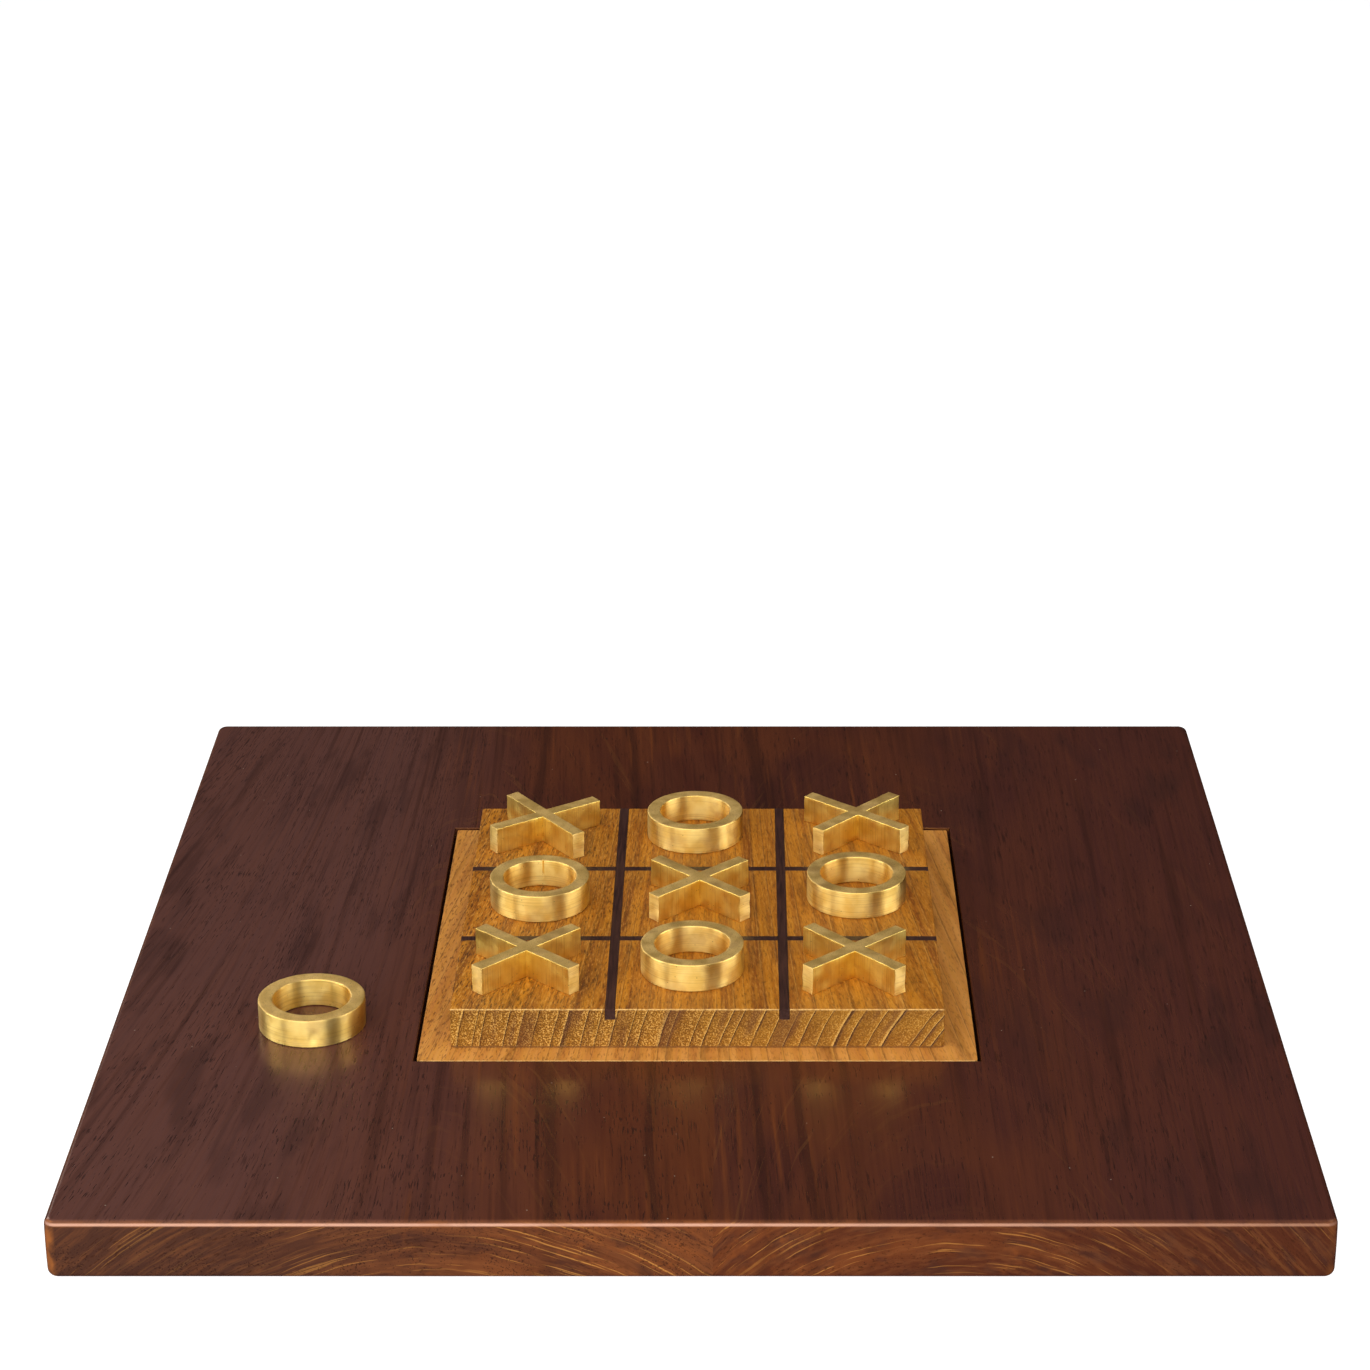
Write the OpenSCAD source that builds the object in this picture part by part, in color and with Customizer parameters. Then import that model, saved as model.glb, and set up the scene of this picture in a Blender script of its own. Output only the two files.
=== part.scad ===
// A tic-tac-toe board: a dark slab of two glued planks, a loose playing block
// that drops into a recess in it, inlaid strips that mark the nine squares,
// and ten solid brass pieces, five crosses and five rings.
// Millimetres. The origin is the middle of the slab's underside and +Z is up.
// The front of the board, nearest the player, is at -Y.

/* [Slab] */
// Length of each side of the square slab
slab_w = 472; // [430:1:600]
// Thickness of the slab
slab_t = 24; // [18:0.5:40]
// Width of the left plank, from the slab's left edge to the glue line
left_plank_w = 244; // [210:1:260]
// Radius of the slab's four upright corners
slab_corner_r = 4.5; // [4.5:0.5:20]
// Radius of the round along the slab's top edge
slab_top_r = 2.5; // [0.5:0.1:4]
// Radius of the round along the slab's bottom edge
slab_foot_r = 3; // [0.5:0.1:4]
// How far the recess lies to the right of the slab's middle
recess_right = 1; // [-5:0.1:5]
// How far the recess lies behind the slab's middle
recess_back = 0.8; // [-5:0.1:5]
// Gap round the block in the recess, on each side
recess_gap = 1.3; // [0.5:0.1:3]

/* [Playing block] */
// Length of each side of the raised field
field_w = 197; // [180:0.5:230]
// Height of the field above the border
field_rise = 17.1; // [6:0.1:30]
// Thickness of the border, which lies in the recess
border_t = 8.4; // [5:0.1:12]
// How far the border's top lies below the slab's top
border_drop = 0.6; // [0:0.1:3]
// Width of the border at the left and at the right
border_side = 12.8; // [8:0.1:20]
// Width of the border at the front
border_front = 11.2; // [8:0.1:20]
// Width of the border at the back
border_back = 14.4; // [8:0.1:20]
// Radius of the block's four upright corners
block_corner_r = 2; // [0.5:0.1:5]

/* [Inlaid strips] */
// Width of a strip
strip_w = 4; // [2:0.1:6]
// Depth of a strip, which is also the depth of its groove
strip_t = 4.6; // [2:0.1:6]
// Play of a strip in its groove, on each side
strip_play = 0.05; // [0.02:0.01:0.3]
// Distance between the two long strips, middle to middle
column_pitch = 69.4; // [60:0.1:76]
// Distance between the two rows of short strips, middle to middle
row_pitch = 68.5; // [60:0.1:76]

/* [Brass pieces] */
// Height of every piece
piece_h = 12; // [6:0.5:20]
// Length of each bar of a cross, end to end
cross_bar_l = 53.4; // [40:0.1:60]
// Width of each bar of a cross
cross_bar_w = 5.8; // [4:0.1:8]
// Outside diameter of a ring
ring_od = 42.2; // [34:0.1:46]
// Wall of a ring
ring_wall = 5.7; // [3:0.1:8]
// Outside diameter of the spare ring, which is a little larger
spare_od = 43.3; // [34:0.1:46]
// Wall of the spare ring
spare_wall = 5.9; // [3:0.1:8]

/* [Places of the pieces] */
// Back left cross: right and back of its square's middle
cross_back_left_at = [-1.3, -0.3]; // [-5:0.1:5]
// Back left cross: angle from an upright cross, in degrees
cross_back_left_angle = 35.6; // [30:0.1:60]
// Back right cross: right and back of its square's middle
cross_back_right_at = [1, 1.7]; // [-5:0.1:5]
// Back right cross: angle
cross_back_right_angle = 48.4; // [30:0.1:60]
// Middle cross: right and back of its square's middle
cross_centre_at = [0.1, 1.5]; // [-5:0.1:5]
// Middle cross: angle
cross_centre_angle = 44.9; // [30:0.1:60]
// Front left cross: right and back of its square's middle
cross_front_left_at = [-1.8, 1.8]; // [-5:0.1:5]
// Front left cross: angle
cross_front_left_angle = 45.9; // [30:0.1:60]
// Front right cross: right and back of its square's middle
cross_front_right_at = [-4, 1.3]; // [-5:0.1:5]
// Front right cross: angle
cross_front_right_angle = 42.5; // [30:0.1:60]
// Back ring: right and back of its square's middle
ring_back_centre_at = [-2.7, 2.8]; // [-5:0.1:5]
// Middle left ring: right and back of its square's middle
ring_mid_left_at = [0, 1.5]; // [-5:0.1:5]
// Middle right ring: right and back of its square's middle
ring_mid_right_at = [-1.2, 5]; // [-5:0.1:5]
// Front ring: right and back of its square's middle
ring_front_centre_at = [-2.4, 4.7]; // [-5:0.1:5]
// Spare ring: from the recess's left wall to the ring's middle
spare_from_recess = 43.2; // [30:0.1:60]
// Spare ring: how far it lies in front of the slab's middle
spare_forward = 79.5; // [-100:0.5:100]

/* [Hidden] */

// Facets of a full circle, and the overshoot of a cut past the face it opens
round_fn = 96;
cut = 1;

// Levels
border_z = slab_t - border_drop;
floor_z = border_z - border_t;
field_z = border_z + field_rise;

// Plan of the block, whose middle is that of the recess
block_w = field_w + 2 * border_side;
block_d = field_w + border_front + border_back;
recess_w = block_w + 2 * recess_gap;
recess_d = block_d + 2 * recess_gap;

// Middle of the field, and of the squares at its sides, front and back
field_x = recess_right;
field_y = recess_back + (border_front - border_back) / 2;
side_square_x = (field_w / 2 + column_pitch / 2 + strip_w / 2) / 2;
end_square_y = (field_w / 2 + row_pitch / 2 + strip_w / 2) / 2;

// Lengths of the short strips, which butt against the long ones
side_strip_l = (field_w - column_pitch - strip_w) / 2 - strip_play;
middle_strip_l = column_pitch - strip_w - 2 * strip_play;
side_strip_x = (field_w - side_strip_l) / 2;

slab_brown = "#4a2a22";
teak_brown = "#b27a3e";
inlay_brown = "#3d2426";
brass_gold = "#cfa350";

// Section of the slab's rim, from the middle of a corner out to its face
module rim_section() {
    intersection() {
        square([slab_corner_r, slab_t]);
        union() {
            translate([0, slab_foot_r])
                square([slab_corner_r, slab_t - slab_top_r - slab_foot_r]);
            square([slab_corner_r - slab_foot_r, slab_t]);
            square([slab_corner_r - slab_top_r, slab_t]);
            translate([slab_corner_r - slab_foot_r, slab_foot_r])
                circle(r = slab_foot_r, $fn = round_fn);
            translate([slab_corner_r - slab_top_r, slab_t - slab_top_r])
                circle(r = slab_top_r, $fn = round_fn);
        }
    }
}

// The whole slab before the recess is cut: a core, four rims and four corners
module slab_form() {
    inner_w = slab_w - 2 * slab_corner_r;
    translate([-inner_w / 2, -inner_w / 2, 0]) cube([inner_w, inner_w, slab_t]);
    for (side = [0:3]) rotate([0, 0, 90 * side]) {
        translate([inner_w / 2, inner_w / 2, 0]) rotate([90, 0, 0])
            linear_extrude(height = inner_w) rim_section();
        translate([inner_w / 2, inner_w / 2, 0])
            rotate_extrude($fn = round_fn) rim_section();
    }
}

module recess() {
    translate([recess_right - recess_w / 2, recess_back - recess_d / 2, floor_z])
        cube([recess_w, recess_d, slab_t]);
}

// One plank of the slab, kept between two distances from the slab's left edge
module plank(from, to) {
    difference() {
        intersection() {
            slab_form();
            translate([from - slab_w / 2, -slab_w, -cut])
                cube([to - from, 2 * slab_w, slab_t + 2 * cut]);
        }
        recess();
    }
}

module slab_left_plank() { color(slab_brown) plank(-cut, left_plank_w); }
module slab_right_plank() { color(slab_brown) plank(left_plank_w, slab_w + cut); }

// A block with round upright corners, its middle at the origin
module round_cornered(width, depth, height, corner_r) {
    linear_extrude(height = height) union() {
        square([width - 2 * corner_r, depth], center = true);
        square([width, depth - 2 * corner_r], center = true);
        for (x = [-1, 1], y = [-1, 1])
            translate([x * (width / 2 - corner_r), y * (depth / 2 - corner_r)])
                circle(r = corner_r, $fn = round_fn);
    }
}

// Everything on the field is drawn from the middle of the field's top
module on_field() {
    translate([field_x, field_y, field_z]) children();
}

module playing_block() {
    color(teak_brown) difference() {
        union() {
            translate([recess_right, recess_back, floor_z])
                round_cornered(block_w, block_d, border_t, block_corner_r);
            translate([field_x - field_w / 2, field_y - field_w / 2, floor_z])
                cube([field_w, field_w, field_z - floor_z]);
        }
        on_field() for (side = [-1, 1]) {
            translate([side * column_pitch / 2, 0, 0]) groove(field_w, 0);
            translate([0, side * row_pitch / 2, 0]) groove(field_w, 90);
        }
    }
}

module groove(length, turn) {
    rotate([0, 0, turn])
        translate([-strip_w / 2 - strip_play, -length / 2 - cut, -strip_t])
            cube([strip_w + 2 * strip_play, length + 2 * cut, strip_t + cut]);
}

// A strip across the field, or one along it, with its top flush with the field
module cross_strip(x, y, length) {
    color(inlay_brown) on_field()
        translate([x - length / 2, y - strip_w / 2, -strip_t]) cube([length, strip_w, strip_t]);
}

module long_strip(side) {
    color(inlay_brown) on_field()
        translate([side * column_pitch / 2 - strip_w / 2, -field_w / 2, -strip_t])
            cube([strip_w, field_w, strip_t]);
}

module strip_long_left() { color(inlay_brown) long_strip(-1); }
module strip_long_right() { color(inlay_brown) long_strip(1); }
module strip_back_left() { color(inlay_brown) cross_strip(-side_strip_x, row_pitch / 2, side_strip_l); }
module strip_back_middle() { color(inlay_brown) cross_strip(0, row_pitch / 2, middle_strip_l); }
module strip_back_right() { color(inlay_brown) cross_strip(side_strip_x, row_pitch / 2, side_strip_l); }
module strip_front_left() { color(inlay_brown) cross_strip(-side_strip_x, -row_pitch / 2, side_strip_l); }
module strip_front_middle() { color(inlay_brown) cross_strip(0, -row_pitch / 2, middle_strip_l); }
module strip_front_right() { color(inlay_brown) cross_strip(side_strip_x, -row_pitch / 2, side_strip_l); }

// A solid cross of two equal bars. Column and row run from -1 to 1 and name its square.
module cross_piece(column, row, at, turn) {
    on_field() translate([column * side_square_x + at.x, row * end_square_y + at.y, 0])
        rotate([0, 0, turn]) linear_extrude(height = piece_h) union() {
            square([cross_bar_l, cross_bar_w], center = true);
            square([cross_bar_w, cross_bar_l], center = true);
        }
}

// A plain ring standing on the origin
module ring(od, wall) {
    difference() {
        cylinder(h = piece_h, d = od, $fn = round_fn);
        translate([0, 0, -cut])
            cylinder(h = piece_h + 2 * cut, d = od - 2 * wall, $fn = round_fn);
    }
}

module ring_piece(column, row, at) {
    on_field() translate([column * side_square_x + at.x, row * end_square_y + at.y, 0])
        ring(ring_od, ring_wall);
}

module cross_back_left() { color(brass_gold) cross_piece(-1, 1, cross_back_left_at, cross_back_left_angle); }
module cross_back_right() { color(brass_gold) cross_piece(1, 1, cross_back_right_at, cross_back_right_angle); }
module cross_centre() { color(brass_gold) cross_piece(0, 0, cross_centre_at, cross_centre_angle); }
module cross_front_left() { color(brass_gold) cross_piece(-1, -1, cross_front_left_at, cross_front_left_angle); }
module cross_front_right() { color(brass_gold) cross_piece(1, -1, cross_front_right_at, cross_front_right_angle); }
module ring_back_centre() { color(brass_gold) ring_piece(0, 1, ring_back_centre_at); }
module ring_mid_left() { color(brass_gold) ring_piece(-1, 0, ring_mid_left_at); }
module ring_mid_right() { color(brass_gold) ring_piece(1, 0, ring_mid_right_at); }
module ring_front_centre() { color(brass_gold) ring_piece(0, -1, ring_front_centre_at); }
module ring_spare() {
    color(brass_gold)
        translate([recess_right - recess_w / 2 - spare_from_recess, -spare_forward, slab_t])
            ring(spare_od, spare_wall);
}

slab_left_plank();
slab_right_plank();
playing_block();
strip_long_left();
strip_long_right();
strip_back_left();
strip_back_middle();
strip_back_right();
strip_front_left();
strip_front_middle();
strip_front_right();
cross_back_left();
cross_back_right();
cross_centre();
cross_front_left();
cross_front_right();
ring_back_centre();
ring_mid_left();
ring_mid_right();
ring_front_centre();
ring_spare();
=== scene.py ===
# %% [markdown]
# Tic-tac-toe board: a lesson in dressing a CAD frame.
#
# The real object is a slab of dark lacquered hardwood with a golden teak playing block let into its middle.
# Dark strips of wood divide the block's field into nine squares, and ten brass pieces stand on the board.
# The imported CAD model says where every piece is and how it moves. This script gives each piece its surface.
# We start by loading that frame.

# %% Load the frame
import math

import bmesh
import bpy
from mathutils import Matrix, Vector, noise


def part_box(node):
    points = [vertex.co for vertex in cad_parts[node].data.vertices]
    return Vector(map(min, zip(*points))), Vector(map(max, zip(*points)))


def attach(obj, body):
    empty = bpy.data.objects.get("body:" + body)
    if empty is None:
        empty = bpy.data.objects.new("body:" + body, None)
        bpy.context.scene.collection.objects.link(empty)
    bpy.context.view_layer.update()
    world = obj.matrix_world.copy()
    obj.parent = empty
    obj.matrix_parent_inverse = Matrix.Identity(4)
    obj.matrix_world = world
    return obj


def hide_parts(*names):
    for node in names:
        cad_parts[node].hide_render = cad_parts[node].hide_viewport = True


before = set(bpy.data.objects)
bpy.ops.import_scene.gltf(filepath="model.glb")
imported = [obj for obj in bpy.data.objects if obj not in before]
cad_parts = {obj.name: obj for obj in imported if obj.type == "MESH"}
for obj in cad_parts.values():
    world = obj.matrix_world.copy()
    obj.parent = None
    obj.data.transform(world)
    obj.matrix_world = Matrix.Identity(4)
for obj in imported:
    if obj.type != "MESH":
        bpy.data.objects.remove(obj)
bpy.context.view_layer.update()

# %% [markdown]
# Blender works in metres, but a maker thinks of a board like this one in millimetres.
# One factor lets every size below be written as the maker would write it.
# Rounded arrises turn up on every piece, so the first helper gives the points of an arc. The second spaces
# points evenly, and the third is a smooth random value, for the small unevenness of hand work.

# %% Millimetres and arcs
MM = 0.001
SEED_STEP = Vector((7.31, 3.17, 5.93))


def arc_points(centre, radius, start, end, steps):
    """Points on an arc, both ends included, with its angles in degrees."""
    angles = [math.radians(start + (end - start) * step / steps) for step in range(steps + 1)]
    return [(centre[0] + radius * math.cos(a), centre[1] + radius * math.sin(a)) for a in angles]


def evenly(start, end, pitch):
    """Places from start to end, about a pitch apart."""
    steps = max(1, round(abs(end - start) / pitch))
    return [start + (end - start) * step / steps for step in range(steps + 1)]


def waver(place, wavelength, seed):
    """A smooth random value from about -1 to 1 that changes over a wavelength."""
    return noise.noise(Vector(place) / wavelength + seed * SEED_STEP)


print("a quarter arc of 4 mm:", arc_points((0, 0), 4 * MM, 0, 90, 2))

# %% [markdown]
# The camera comes first, because every later choice is judged through it. The photograph looks down on the
# board from the front at 22 degrees, with a long lens. The camera stands a little to the right of the
# board's middle, and its lens is shifted instead of the camera being turned, so that the slab's front edge
# stays level, as it does in the photograph.

# %% Camera
CAMERA_PLACE = (16.8 * MM, -1343.7 * MM, 678.9 * MM)
CAMERA_PITCH = 21.87
FOCAL_LENGTH_PX = 3503
PHOTO_SIDE_PX = 1370
PRINCIPAL_COLUMN_PX = 737
SENSOR_WIDTH = 36

camera_data = bpy.data.cameras.new("camera")
camera_data.sensor_width = SENSOR_WIDTH
camera_data.lens = SENSOR_WIDTH * FOCAL_LENGTH_PX / PHOTO_SIDE_PX
camera_data.shift_x = (PHOTO_SIDE_PX / 2 - PRINCIPAL_COLUMN_PX) / PHOTO_SIDE_PX
camera_data.clip_start = 10 * MM
camera = bpy.data.objects.new("camera", camera_data)
camera.location = CAMERA_PLACE
camera.rotation_euler = (math.radians(90 - CAMERA_PITCH), 0, 0)
bpy.context.scene.collection.objects.link(camera)
bpy.context.scene.camera = camera
bpy.context.scene.view_settings.view_transform = "Standard"
print("lens:", round(camera_data.lens, 1), "mm, shift:", round(camera_data.shift_x, 4))

# %% [markdown]
# Materials and geometry trees are both graphs of nodes, so one small function adds a node for either.
# It sets what the node is told, and fills its inputs, in order or by name. An input takes a plain value, the
# output of another node, or a node itself, which stands for its result.
# Colours are written as the hex values that a colour picker shows, and one function makes them linear light.

# %% Nodes and colours
def linear(hex_colour):
    """An sRGB hex colour as linear red, green, blue and alpha."""
    shares = [int(hex_colour[place:place + 2], 16) / 255 for place in (1, 3, 5)]
    return [s / 12.92 if s <= 0.04045 else ((s + 0.055) / 1.055) ** 2.4 for s in shares] + [1.0]


def fill(tree, node, inputs):
    """Fills a node's inputs. A value may be plain, a hex colour, an output or a node."""
    for name, value in (inputs if isinstance(inputs, dict) else dict(enumerate(inputs))).items():
        if isinstance(value, bpy.types.Node):
            value = next(output for output in value.outputs if output.enabled)
        if isinstance(value, bpy.types.NodeSocket):
            tree.links.new(value, node.inputs[name])
        else:
            node.inputs[name].default_value = linear(value) if isinstance(value, str) else value


def add_node(tree, kind, inputs=(), **settings):
    """Adds a node of a kind, with its settings and its inputs, which are a tuple in order or a dictionary."""
    node = tree.nodes.new(kind)
    for name, value in settings.items():
        setattr(node, name, value)
    fill(tree, node, inputs)
    return node


print("the slab's brown in linear light:", [round(c, 3) for c in linear("#4a2a22")])

# %% [markdown]
# Every pattern below is laid out in millimetres on Object coordinates.
# Wood is a solid pattern: the same rings show as arcs on the end and as figure along the top.
# A noise texture that is stretched along one axis gives fibres, and one helper serves every wood and metal.
# A new material starts with nothing but the Principled shader and its output.

# %% Coordinates and stretched noise
SEED_SHIFT = (1.0, 0.7, 1.3)


def millimetres(tree):
    """The object's own coordinates, in millimetres."""
    coordinates = add_node(tree, "ShaderNodeTexCoord").outputs["Object"]
    return add_node(tree, "ShaderNodeVectorMath", {0: coordinates, "Scale": 1 / MM}, operation="SCALE")


def outward(tree):
    """How much the surface looks along each axis, as three outputs."""
    normal = add_node(tree, "ShaderNodeNewGeometry").outputs["Normal"]
    return add_node(tree, "ShaderNodeSeparateXYZ", (normal,)).outputs


def grain(tree, place, sizes, detail, seed, output="Fac"):
    """Noise whose lumps have the given sizes along X, Y and Z, in millimetres."""
    stretched = add_node(tree, "ShaderNodeMapping", {
        "Vector": place, "Scale": [1 / size for size in sizes], "Location": [seed * s for s in SEED_SHIFT]})
    pattern = add_node(tree, "ShaderNodeTexNoise", {"Vector": stretched, "Scale": 1.0, "Detail": detail})
    return pattern.outputs[output]


def new_material(name):
    """An empty node material with its Principled shader."""
    material = bpy.data.materials.new(name)
    material.use_nodes = True
    tree = material.node_tree
    tree.nodes.clear()
    shader = add_node(tree, "ShaderNodeBsdfPrincipled")
    add_node(tree, "ShaderNodeOutputMaterial", {"Surface": shader})
    return material, tree, shader


print("patterns are laid out in millimetres of the object")

# %% [markdown]
# A real surface is a pile of thin layers, and so is its colour here. Each layer is a pattern that says where
# it lies, a few shares that weaken it, and the colour it leaves. Four helpers build such a pile: one makes a
# share out of noise, one multiplies shares, one lays a colour over what is there, and one scatters specks.
# A share eases in over its span, because nothing in wood or worn metal starts at a ruled line.

# %% Layers of colour
EASED = {"interpolation_type": "SMOOTHSTEP"}
SPECK_CORE = 0.6


def patterned(tree, place, sizes, detail, seed, *span):
    """A share that follows noise. Its span is where it starts and is full, then its least and most."""
    return add_node(tree, "ShaderNodeMapRange", (grain(tree, place, sizes, detail, seed), *span), **EASED)


def product(tree, share, *others):
    """Shares multiplied with each other, from the first to the last."""
    for other in others:
        share = add_node(tree, "ShaderNodeMath", (share, other), operation="MULTIPLY")
    return share


def stained(tree, under, colour, *shares):
    """Lays a colour over what is under it, as strongly as the product of the shares says."""
    return add_node(tree, "ShaderNodeMix", {0: product(tree, *shares), 6: under, 7: colour}, data_type="RGBA")


def speckled(tree, place, cell, radius):
    """Rare round specks: 1 within a radius of the points of a loose scatter, in millimetres."""
    scatter = add_node(tree, "ShaderNodeTexVoronoi", {"Vector": place, "Scale": 1 / cell})
    span = (scatter.outputs["Distance"], radius / cell, SPECK_CORE * radius / cell)
    return add_node(tree, "ShaderNodeMapRange", span, **EASED)


def surfaced(tree, shader, colour, roughness, height):
    """Gives a shader its colour, its roughness and its relief, whose height is in millimetres."""
    relief = add_node(tree, "ShaderNodeBump", {"Strength": 1.0, "Distance": MM, "Height": height})
    fill(tree, shader, {"Base Color": colour, "Roughness": roughness, "Normal": relief})


print("layers of colour ease in over their span")

# %% [markdown]
# A growth ring is a cylinder round the pith of the tree, so the distance from the pith's axis is the
# pattern. The slab's boards were cut above the pith and the block beside it, so each has a pith place of
# its own. Two layers of noise bend the rings, because no tree grows straight, and a little taper opens them
# into arches along the top. A second helper leans the grain, as a board is seldom sawn quite along its
# fibres.

# %% Place in the tree
RING_RADIUS = 170
SLOW_BEND = (150, 450, 150)
QUICK_BEND = (18, 110, 18)


def tree_place(tree, place, pith_x, pith_z, taper, wander, ripple, seed):
    """A point's place in its trunk, in millimetres: along its ring, along the trunk and out from the pith."""
    slow = grain(tree, place, SLOW_BEND, 1.0, seed, "Color")
    quick = grain(tree, place, QUICK_BEND, 2.0, seed + 3.0, "Color")
    for bend, reach in ((slow, wander), (quick, ripple)):
        bend = add_node(tree, "ShaderNodeVectorMath", (bend, (0.5, 0.5, 0.5)), operation="SUBTRACT")
        bend = add_node(tree, "ShaderNodeVectorMath", {0: bend, "Scale": 2 * reach}, operation="SCALE")
        place = add_node(tree, "ShaderNodeVectorMath", (place, bend), operation="ADD")
    axes = add_node(tree, "ShaderNodeSeparateXYZ", (place,)).outputs
    across = add_node(tree, "ShaderNodeMath", (axes[0], pith_x), operation="SUBTRACT")
    above = add_node(tree, "ShaderNodeMath", (axes[1], taper, axes[2]), operation="MULTIPLY_ADD")
    above = add_node(tree, "ShaderNodeMath", (above, pith_z), operation="SUBTRACT")
    square = product(tree, above, above)
    square = add_node(tree, "ShaderNodeMath", (across, across, square), operation="MULTIPLY_ADD")
    outwards = add_node(tree, "ShaderNodeMath", (square,), operation="SQRT")
    turn = add_node(tree, "ShaderNodeMath", (across, above), operation="ARCTAN2")
    around = product(tree, turn, RING_RADIUS)
    return add_node(tree, "ShaderNodeCombineXYZ", (around, axes[1], outwards)), outwards


def fanned(tree, place, front, left_x, right_x, left_lean, right_lean):
    """Leans the grain: each fibre keeps its place at the front and drifts sideways behind it."""
    axes = add_node(tree, "ShaderNodeSeparateXYZ", (place,)).outputs
    lean = add_node(tree, "ShaderNodeMapRange", (axes[0], left_x, right_x, left_lean, right_lean), **EASED)
    behind = add_node(tree, "ShaderNodeMath", (axes[1], front), operation="SUBTRACT")
    drift = product(tree, behind, lean)
    drifted = add_node(tree, "ShaderNodeMath", (axes[0], drift), operation="SUBTRACT")
    return add_node(tree, "ShaderNodeCombineXYZ", (drifted, axes[1], axes[2]))


def ring_noise(tree, distance, spacing, detail, seed):
    """Noise that changes only from ring to ring."""
    ring = add_node(tree, "ShaderNodeMath", (distance, 1 / spacing, seed), operation="MULTIPLY_ADD")
    inputs = {"W": ring, "Scale": 1.0, "Detail": detail}
    return add_node(tree, "ShaderNodeTexNoise", inputs, noise_dimensions="1D")


print("lengths along a ring are true", RING_RADIUS, "mm from the pith")

# %% [markdown]
# The slab is a dense dark hardwood, planed, sanded and finished with a satin lacquer.
# Seen along the boards it is a deep red-brown. Soft bands follow the rings, clouds and long fibres run with
# the grain, and short dark creases lie where the grain was compressed.
# Across the ends, where the saw cut the fibres, the same bands show as arcs and the wood is warmer.

# %% Hardwood colours
def long_grain(tree, place, bands, dim_place, tones, seed):
    """The colour along a board."""
    wood = stained(tree, tones[0], tones[1], bands)
    cloud = patterned(tree, place, (40, 120, 40), 3.0, seed + 11.0, 0.38, 0.62)
    wood = stained(tree, wood, "#5a2c14", cloud, 0.5)
    wood = stained(tree, wood, tones[2], dim_place)
    fibres = patterned(tree, place, (0.9, 70, 0.9), 3.0, seed + 5.0, 0.32, 0.68)
    wood = stained(tree, wood, "#62341e", fibres, 0.15)
    shade = patterned(tree, place, (2.2, 95, 2.2), 3.0, seed + 6.0, 0.5, 0.75)
    wood = stained(tree, wood, "#2a130e", shade, 0.38)
    patches = patterned(tree, place, (16, 60, 16), 3.0, seed + 9.0, 0.5, 0.7, 0.0, 0.5)
    wood = stained(tree, wood, "#2a1817", patches, dim_place)
    creases = patterned(tree, place, (0.8, 14, 0.8), 3.0, seed + 15.0, 0.56, 0.7)
    creased = patterned(tree, place, (18, 60, 18), 2.0, seed + 16.0, 0.4, 0.6, 0.12, 0.6)
    return stained(tree, wood, "#22100d", creases, creased)


def end_grain_colour(tree, rings, bands, dim_place, tones, seed):
    """The colour across a board's end."""
    wood = stained(tree, tones[0], tones[1], bands)
    wood = stained(tree, wood, tones[2], dim_place)
    patches = patterned(tree, rings, (24, 90, 6), 3.0, seed + 17.0, 0.48, 0.66, 0.0, 0.6)
    wood = stained(tree, wood, "#38201a", patches)
    fibres = patterned(tree, rings, (14, 60, 1.6), 3.0, seed + 21.0, 0.4, 0.7, 0.0, 0.25)
    return stained(tree, wood, "#7a4827", fibres)


print("hardwood has a colour along the board and one across its end")

# %% [markdown]
# Single dark streaks run the whole length of the boards, where the photograph shows them, and thin warm ones
# gather near the middle. On the ends, thin orange lines mark the rings, with short dark dashes between them.

# %% Streaks and ring lines
WARM_MIDDLE = 15.0
WARM_REACH = (170.0, 70.0)


def streaked(tree, wood, place, along_x, across, end_grain, streaks, seed):
    """Dark and warm streaks along a board. Each dark one has a place and half a width, in millimetres."""
    dark = patterned(tree, place, (6.0, 210, 6.0), 3.0, seed + 7.0, 0.54, 0.74, 0.0, 0.45)
    for x, width in streaks:
        off = add_node(tree, "ShaderNodeMath", (across, x), operation="SUBTRACT")
        off = add_node(tree, "ShaderNodeMath", (off,), operation="ABSOLUTE")
        streak = add_node(tree, "ShaderNodeMapRange", (off, width, 0.2 * width, 0.0, 0.5), **EASED)
        dark = add_node(tree, "ShaderNodeMath", (dark, streak), operation="MAXIMUM")
    at_end = add_node(tree, "ShaderNodeMapRange", (end_grain, 0.0, 1.0, 1.0, 0.4), **EASED)
    wood = stained(tree, wood, "#26110d", dark, at_end)
    warm = patterned(tree, place, (3.0, 110, 3.0), 4.0, seed + 13.0, 0.5, 0.75)
    gathered = patterned(tree, place, (40, 120, 40), 2.0, seed + 19.0, 0.42, 0.62, 0.05, 0.42)
    off = add_node(tree, "ShaderNodeMath", (along_x, WARM_MIDDLE), operation="SUBTRACT")
    off = add_node(tree, "ShaderNodeMath", (off,), operation="ABSOLUTE")
    near_middle = add_node(tree, "ShaderNodeMapRange", (off, *WARM_REACH, 0.12, 1.0), **EASED)
    return stained(tree, wood, "#7c411a", warm, product(tree, gathered, near_middle))


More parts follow.
